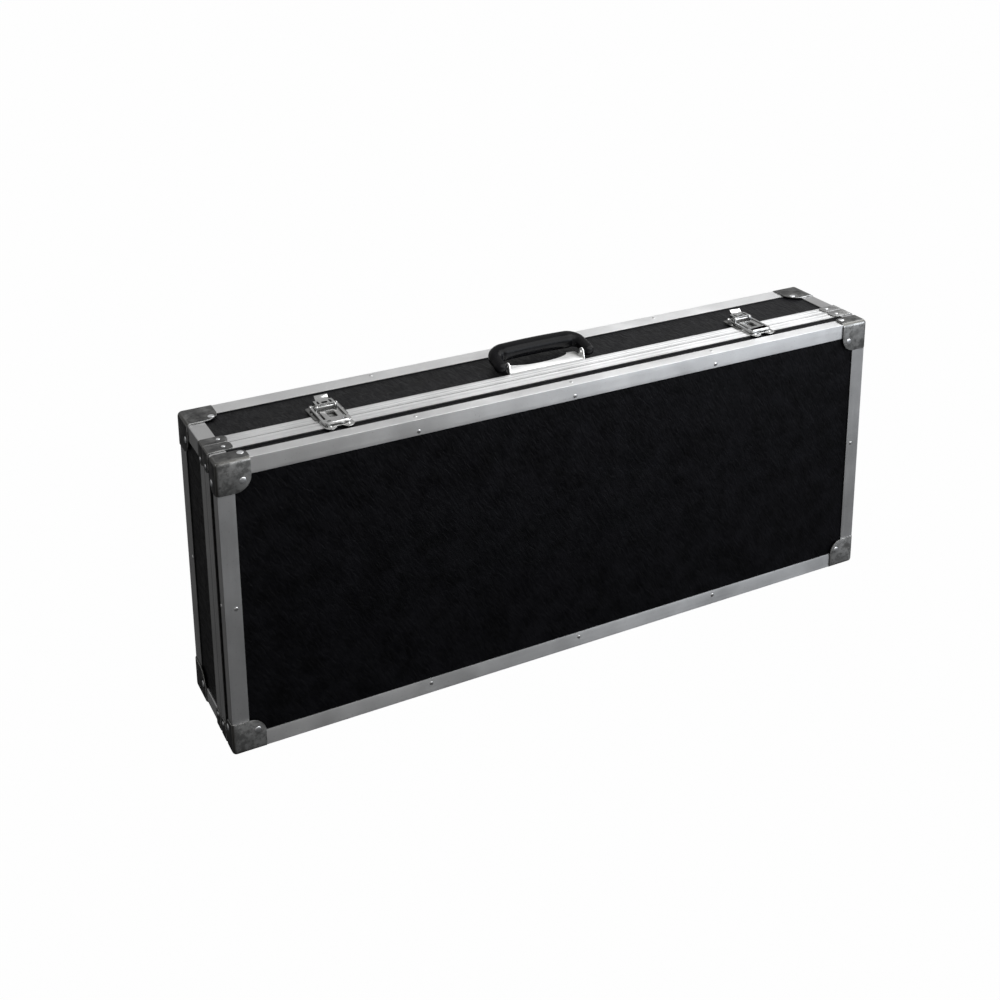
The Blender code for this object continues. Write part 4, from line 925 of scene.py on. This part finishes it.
def make_closure(half):
    """The closure profile of one half: four mitred bars with room for the hinges' knuckles."""
    node = f"{half}_closure_frame"
    for name, direction, level in RING_SPANS:
        chamfer = HINGE_CHAMFER if name == "bottom" else CLOSURE_CHAMFER
        bar = blunt_corners(ring_bar(closure_section(half, chamfer), direction, level, WELD))
        if name == "bottom":
            notches = []
            for hinge in SIDES:
                low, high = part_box(f"hinge_{hinge}_body_leaf")
                notches.append(rod(KNUCKLE_ROOM, low.x - GAP, high.x + GAP, *HINGE_PLACE.yz))
            bar = cut(bar, notches)
        title = f"{half}_closure_{name}_profile"
        finish = ALUMINIUM[direction]
        replaced = [node] if name == "bottom" else []
        dull_cut_edges(piece(title, bar, finish, half, replaced, PROFILE_ANGLE))


def make_depth_edges(half):
    """The four edge profiles that run in depth on the body, or bridge the lid's slit."""
    outline = angle_outline(EDGE_FACE_LEG, EDGE_FACE_LEG, DEPTH_EDGE_ROUND, EDGE_LIP, EDGE_LIP)
    for level, side in CORNERS:
        node = f"{half}_depth_edge_{level}_{side}"
        low = FRONT_Y + SIDE_LEG["lid"] + GAP
        high = PARTING_Y - CLOSURE_WIDTH - GAP
        replaced = []
        if half == "body":
            low, high = (corner.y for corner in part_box(node))
            replaced = [node]
        bar = sheet([outline], low, high, ALONG_Y)
        bar.transform(inward_matrix(SIDES[side], 0, LEVELS[level]))
        piece(node + "_profile", bar, ALUMINIUM["Y"], half, replaced, DEPTH_EDGE_ANGLE)


for half_name in HALVES:
    make_edges(half_name)
    make_closure(half_name)
for half_name in ("body", "lid"):
    make_depth_edges(half_name)


# Pressed corners and braces

RIM_SHARE = 0.3
RIM_ANGLE = 50


def round_corner(shape, axes, corner, signs, radius):
    """Round off a corner of an open sheet, in the plane of two axes, by planes tangent to an arc."""
    for step in range(LOBE_STEPS):
        angle = math.radians(90 * (step + 1) / (LOBE_STEPS + 1))
        normal = Vector((0, 0, 0))
        point = Vector((0, 0, 0))
        parts = (math.cos(angle), math.sin(angle))
        for axis, place, sign, part in zip(axes, corner, signs, parts):
            normal[axis] = sign * part
            point[axis] = place - sign * radius + sign * part * radius
        bisected(shape, point, normal, clear=True)


def lies_at(item, axis, place):
    """Whether every vertex of an edge or face lies at a place on an axis."""
    return all(abs(vert.co[axis] - place) < WELD for vert in item.verts)


def folded_shell(low, high, edges, radius, lobes, thickness):
    """A pressed shell over a corner or an edge: its outside at low, its free corners round."""
    shape = block(low, high)
    kept = {axis for axis in range(3) if any(edge != axis for edge in edges)}
    arrises = []
    for edge in shape.edges:
        fixed = [axis for axis in range(3) if lies_at(edge, axis, low[axis])]
        if len(fixed) == 2 and any(axis not in fixed for axis in edges):
            arrises.append(edge)
    bmesh.ops.bevel(
        shape, geom=arrises, offset=radius, segments=FOLD_STEPS, profile=0.5, affect="EDGES")
    doomed = []
    for face in shape.faces:
        for axis in range(3):
            at_low = lies_at(face, axis, low[axis])
            if lies_at(face, axis, high[axis]) or (at_low and axis not in kept):
                doomed.append(face)
    bmesh.ops.delete(shape, geom=doomed, context="FACES")
    for axes, corner, signs, lobe in lobes:
        round_corner(shape, axes, corner, signs, lobe)
    bmesh.ops.recalc_face_normals(shape, faces=shape.faces)
    obj = loose_object(shape)
    solid = obj.modifiers.new("solidify", "SOLIDIFY")
    solid.thickness = thickness
    solid.offset = -1
    solid.use_even_offset = True
    add_bevel(obj, thickness * RIM_SHARE, RIM_ANGLE)
    return from_evaluated(obj)


def make_pressing(node, half, shell, matrix, finish, spots, **head):
    """A pressed piece with its rivets, moved from a corner's own directions to the case's."""
    shell.transform(matrix)
    piece(node + "_pressing", shell, finish, half, [node])
    turn = matrix.to_3x3()
    places = [(matrix @ Vector(place), turn @ Vector(normal)) for place, normal in spots]
    rivets(node + "_rivets", places, half, finish=CORNER_RIVET_STEEL, **head)


def make_corner(half, level, side):
    """One corner protector with its rivets."""
    low = (-CORNER_PROUD, -CORNER_PROUD, -CORNER_PROUD)
    high = (CORNER_LENGTH, CORNER_DEPTH[half], CORNER_HEIGHT)
    lobes = []
    for axes in ((0, 2), (0, 1), (1, 2)):
        corner = (high[axes[0]], high[axes[1]])
        lobes.append((axes, corner, (1, 1), min(CORNER_LOBE, corner[0] / 2, corner[1] / 2)))
    shell = folded_shell(low, high, (0, 1, 2), CORNER_ROUND, lobes, CORNER_THICK)
    face = CORNER_FACE_RIVET
    end = CORNER_END_RIVET[half]
    spots = [((face[0], -CORNER_PROUD, face[1]), (0, -1, 0)), ((-CORNER_PROUD, *end), (-1, 0, 0))]
    if level == "top":
        spots.append(((*CORNER_LONG_RIVET[half], -CORNER_PROUD), (0, 0, -1)))
    matrix = inward_matrix(SIDES[side], FACE_Y[half], LEVELS[level], HALVES[half])
    make_pressing(
        f"{half}_corner_{level}_{side}", half, shell, matrix, GUNMETAL, spots,
        radius=CORNER_RIVET_RADIUS, rise=CORNER_RIVET_HEIGHT)


def make_brace(half, level, side):
    """One brace folded over the closure profile, with its rivets."""
    low = (-BRACE_PROUD, BRACE_SETBACK[level], -BRACE_PROUD)
    high = (BRACE_LENGTH, BRACE_END[half], BRACE_HEIGHT)
    lobes = []
    for axis in (0, 2):
        for place, sign in ((high[1], 1), (low[1], -1)):
            lobes.append(((axis, 1), (high[axis], place), (1, sign), BRACE_LOBE))
    brace = folded_shell(low, high, (1,), BRACE_ROUND, lobes, BRACE_THICK)
    spots = [((-BRACE_PROUD, BRACE_RIVET_FROM_PARTING, BRACE_END_RIVET), (-1, 0, 0))]
    if level == "top":
        spots.append(((BRACE_LONG_RIVET, BRACE_RIVET_FROM_PARTING, -BRACE_PROUD), (0, 0, -1)))
    matrix = inward_matrix(SIDES[side], PARTING_Y, LEVELS[level], -HALVES[half])
    make_pressing(f"{half}_brace_{level}_{side}", half, brace, matrix, BRACE_STEEL[side], spots)


for half_name in HALVES:
    for place_names in CORNERS:
        make_corner(half_name, *place_names)
        make_brace(half_name, *place_names)


# Covered boards and linings

WAVE_HEIGHT = 0.00012
WAVE_LENGTH = 0.055
BOARD_CELL = 0.010
BOARD_ROUND = 0.0006
BOARD_ANGLE = 40
WAVE_SHIFT = 0.6


def covered_board(low, high, face_axis):
    """A board wrapped in covering: rounded edges, and wide faces that are not quite flat."""
    shape = block(low, high)
    across = [axis for axis in range(3) if axis != face_axis]
    for axis in across:
        count = max(1, round((high[axis] - low[axis]) / BOARD_CELL))
        normal = Matrix.Identity(3)[axis]
        for step in range(1, count):
            place = low[axis] + (high[axis] - low[axis]) * step / count
            bisected(shape, normal * place, normal)
    for vert in shape.verts:
        if all(low[axis] + WELD < vert.co[axis] < high[axis] - WELD for axis in across):
            wave = noise.noise(vert.co / WAVE_LENGTH) - WAVE_SHIFT
            outward = 1 if vert.co[face_axis] > (low[face_axis] + high[face_axis]) / 2 else -1
            vert.co[face_axis] += outward * WAVE_HEIGHT * min(wave, 0)
    obj = loose_object(shape)
    add_bevel(obj, BOARD_ROUND, BOARD_ANGLE)
    return from_evaluated(obj)


def make_boards():
    """Every board of the case in its covering, each square to an axis."""
    boards = [(node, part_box(node), axis, [node]) for node, axis in (
        ("lid_front_panel", 1), ("body_back_panel", 1), ("body_bottom_panel", 2),
        ("body_top_panel", 2), ("body_left_panel", 0), ("body_right_panel", 0))]
    (x0, y0, z0), (x1, y1, z1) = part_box("lid_side_boards")
    thick = LID_BOARD[1].y - LID_BOARD[0].y
    boards += [
        ("lid_bottom_board", ((x0, y0, z0), (x1, y1, z0 + thick)), 2, ["lid_side_boards"]),
        ("lid_top_board", ((x0, y0, z1 - thick), (x1, y1, z1)), 2, []),
        ("lid_left_board", ((x0, y0, z0 + thick), (x0 + thick, y1, z1 - thick)), 0, []),
        ("lid_right_board", ((x1 - thick, y0, z0 + thick), (x1, y1, z1 - thick)), 0, []),
    ]
    for name, (low, high), axis, replaced in boards:
        board = covered_board(low, high, axis)
        piece(name + "_covered", board, LEATHERETTE, name.split("_")[0], replaced)


PAD_ROUND = 0.004
PAD_CELLS = (60, 24)
PAD_CROWN = 0.0025
PAD_RIPPLE = 0.0005
PAD_RIPPLES_PER_METRE = 30
PAD_ANGLE = 60


def make_pad(half):
    """A foam lining glued to a board: rounded rim, slightly crowned, with a soft uneven face."""
    node = f"{half}_pad"
    outward = HALVES[half]
    (x0, y0, z0), (x1, y1, z1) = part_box(node)
    wide, tall = PAD_CELLS
    shape = bmesh.new()
    back_y = y0 if outward > 0 else y1
    thick = y1 - y0 - PAD_CROWN
    rows = []
    for j in range(tall + 1):
        row = []
        for i in range(wide + 1):
            x = x0 + (x1 - x0) * i / wide
            z = z0 + (z1 - z0) * j / tall
            rim = min(x - x0, x1 - x, z - z0, z1 - z)
            rise = math.sqrt(max(0.0, 1 - (1 - min(rim / PAD_ROUND, 1)) ** 2))
            across = 4 * (i / wide) * (1 - i / wide) * 4 * (j / tall) * (1 - j / tall)
            ripple = PAD_RIPPLE * noise.noise(Vector((x, 0, z)) * PAD_RIPPLES_PER_METRE)
            depth = (thick - PAD_ROUND) + PAD_ROUND * rise + PAD_CROWN * across ** 0.5 + ripple * rise
            row.append(shape.verts.new((x, back_y + outward * depth, z)))
        rows.append(row)
    bridge(shape, rows, closed=False)
    border = [edge for edge in shape.edges if edge.is_boundary]
    wall = bmesh.ops.extrude_edge_only(shape, edges=border)
    for item in wall["geom"]:
        if isinstance(item, bmesh.types.BMVert):
            item.co.y = back_y
    rim_edges = [edge for edge in shape.edges if edge.is_boundary]
    bmesh.ops.contextual_create(shape, geom=rim_edges)
    pad = piece(node + "_foam", shape, FOAM, half, [node], PAD_ANGLE)


make_boards()
for half_name in HALVES:
    make_pad(half_name)


# Carrying handle

HANDLE_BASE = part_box("handle_base")
HANDLE_TILT = 14.0
HANDLE_HALF_LENGTH = (HANDLE_BASE[1].x - HANDLE_BASE[0].x) / 2
HANDLE_SIDE_CLEARANCE = 0.0008
HANDLE_DRAW_IN = 0.001
HANDLE_REACH = 0.033
HANDLE_CORNER = 0.016
HANDLE_BELLY = 0.0015
HANDLE_HALF_WIDTH = 0.0125
HANDLE_HALF_THICK = 0.0112
HANDLE_SECTION_ROUND = 0.0105
HANDLE_LEG_SHARE = 0.70
HANDLE_FOOT_END = -0.007
HANDLE_FOOT_START = 0.0005
HANDLE_FOOT_STEPS = 7
HANDLE_LEG_STEPS = 5
HANDLE_CORNER_STEPS = 16
HANDLE_GRIP_STEPS = 16
HANDLE_SECTION_STEPS = 8
HANDLE_ANGLE = 50
HANDLE_PIN_RADIUS = 0.0022
HANDLE_PIN_DEPTH = 0.009
HOLE_CLEARANCE = 0.0003


def handle_route():
    """The handle's middle line from its left foot to its right one: X, reach and size share."""
    foot_x = HANDLE_HALF_LENGTH + HANDLE_SIDE_CLEARANCE + HANDLE_HALF_WIDTH * HANDLE_LEG_SHARE
    leg_x = foot_x - HANDLE_DRAW_IN
    right = []
    for step in range(1, HANDLE_FOOT_STEPS + 1):
        angle = math.radians(90 * step / HANDLE_FOOT_STEPS)
        reach = HANDLE_FOOT_START + (HANDLE_FOOT_END - HANDLE_FOOT_START) * math.cos(angle)
        right.append((foot_x, reach, HANDLE_LEG_SHARE * math.sin(angle)))
    centre = (leg_x - HANDLE_CORNER, HANDLE_REACH - HANDLE_CORNER)
    for step in range(1, HANDLE_LEG_STEPS):
        share = step / HANDLE_LEG_STEPS
        reach = HANDLE_FOOT_START + (centre[1] - HANDLE_FOOT_START) * share
        right.append((foot_x - HANDLE_DRAW_IN * share, reach, HANDLE_LEG_SHARE))
    for step, (x, reach) in enumerate(arc(centre, HANDLE_CORNER, 0, 90, HANDLE_CORNER_STEPS)):
        share = HANDLE_LEG_SHARE + (1 - HANDLE_LEG_SHARE) * step / HANDLE_CORNER_STEPS
        right.append((x, reach, share))
    for step in range(1, HANDLE_GRIP_STEPS + 1):
        x = centre[0] * (1 - step / HANDLE_GRIP_STEPS)
        right.append((x, HANDLE_REACH + HANDLE_BELLY * (1 - (x / centre[0]) ** 2), 1.0))
    left = [(-x, reach, share) for x, reach, share in right]
    return left + right[-2::-1]


def make_handle_grip():
    """The moulded grip: a smooth bar of rounded square section bent into a flat hoop."""
    route = handle_route()
    outline = rounded_rectangle(
        HANDLE_HALF_WIDTH, HANDLE_HALF_THICK, HANDLE_SECTION_ROUND, HANDLE_SECTION_STEPS)
    shape = bmesh.new()
    rings = []
    for before, (x, reach, share), after in zip([route[0]] + route, route, route[1:] + [route[-1]]):
        along = Vector((after[0] - before[0], after[1] - before[1])).normalized()
        across = Vector((-along.y, along.x))
        ring = []
        for wide, thick in outline:
            place = Vector((x, reach)) + across * wide * share
            ring.append(shape.verts.new((place.x, place.y, thick * share)))
        rings.append(ring)
    bridge(shape, rings)
    shape.faces.new(rings[0])
    shape.faces.new(rings[-1][::-1])
    face_out(shape)
    holes = []
    near = HANDLE_HALF_LENGTH - OVERRUN
    far = HANDLE_HALF_LENGTH + HANDLE_PIN_DEPTH + GAP
    for low, high in ((-far, -near), (near, far)):
        holes.append(rod(HANDLE_PIN_RADIUS + HOLE_CLEARANCE, low, high, 0, 0))
    grip = cut(shape, holes)
    tilt = Matrix.Rotation(math.radians(HANDLE_TILT), 4, "X")
    grip.transform(Matrix.Translation(HANDLE_PIVOT) @ tilt)
    piece("handle_grip_moulding", grip, PLASTIC, "handle", ["handle_grip"], HANDLE_ANGLE)


# Pressed and turned parts of the imported model, with their edges rounded off

# Size of the hollow in the handle base's back edge, which stands in for the grip's shadow and
# reflection.
BASE_BITE_HALF_LENGTH = 0.046
BASE_BITE_DEPTH = 0.0135
BASE_BITE_SIDES = 64
TAB_START = 0.0135
TAB_SHARE = 0.55
SOFT_EDGE = 0.00025
SOFT_ANGLE = 35
SOFT_SMOOTH_ANGLE = 45
FLAT_ANGLE = 1


def copied(node):
    """A bmesh with a copy of a node's solid, in the world's place."""
    obj = frame["nodes"][node]
    shape = bmesh.new()
    shape.from_mesh(obj.data)
    shape.transform(obj.matrix_world)
    bmesh.ops.remove_doubles(shape, verts=shape.verts, dist=WELD)
    return shape


def base_hollowed_for_grip_shade():
    """The handle's base with its back edge hollowed where the grip lies over it: the hollow shows the
    dark board in place of the grip's shadow and reflection on the plate, painted shade made by shape.
    """
    low, high = HANDLE_BASE
    middle = (low.x + high.x) / 2
    oval = [(middle + BASE_BITE_HALF_LENGTH * x, high.y + BASE_BITE_DEPTH * y)
            for x, y in circle((0, 0), 1, BASE_BITE_SIDES)]
    return cut(copied("handle_base"), [sheet([oval], low.z - OVERRUN, high.z + OVERRUN)])


def short_tab(lever):
    """A latch lever with its finger tab drawn in."""
    start = JOINTS[f"{lever}_pivot"]["pos_m"][1] + TAB_START
    shape = copied(lever)
    for vert in shape.verts:
        if vert.co.y > start:
            vert.co.y = start + (vert.co.y - start) * TAB_SHARE
    return shape


def softened(shape):
    """A solid with its sharp edges rounded off by a small width."""
    bmesh.ops.dissolve_limit(
        shape, angle_limit=math.radians(FLAT_ANGLE), use_dissolve_boundaries=False,
        verts=shape.verts, edges=shape.edges)
    obj = loose_object(shape)
    add_bevel(obj, SOFT_EDGE, SOFT_ANGLE, "MITER_ARC")
    return from_evaluated(obj)


def make_soft_parts():
    """Handle base, pins, latches and hinge leaves with rolled edges."""
    parts = [("handle_base", "body", BRUSHED_STEEL)]
    parts += [(f"handle_pin_{side}", "body", RIVET_STEEL) for side in SIDES]
    for side in SIDES:
        latch = f"latch_{side}"
        lever = f"{latch}_lever"
        parts += [
            # The latch bases take the darker nickel: painted shade under the levers.
            (f"{latch}_base", "body", SHADED_NICKEL), (f"{lever}_pin", "body", RIVET_STEEL),
            (f"{latch}_keeper", "lid", CHROME), (lever, lever, CHROME),
            (f"{latch}_bail", f"{latch}_bail", CHROME), (f"{latch}_bail_pin", lever, RIVET_STEEL),
            (f"hinge_{side}_lid_leaf", "lid", ZINC), (f"hinge_{side}_body_leaf", "body", ZINC)]
    for node, body, finish in parts:
        if node == "handle_base":
            shape = base_hollowed_for_grip_shade()
        elif node.endswith("_lever"):
            shape = short_tab(node)
        else:
            shape = copied(node)
        piece(node + "_finished", softened(shape), finish, body, [node], SOFT_SMOOTH_ANGLE)


make_handle_grip()
make_soft_parts()
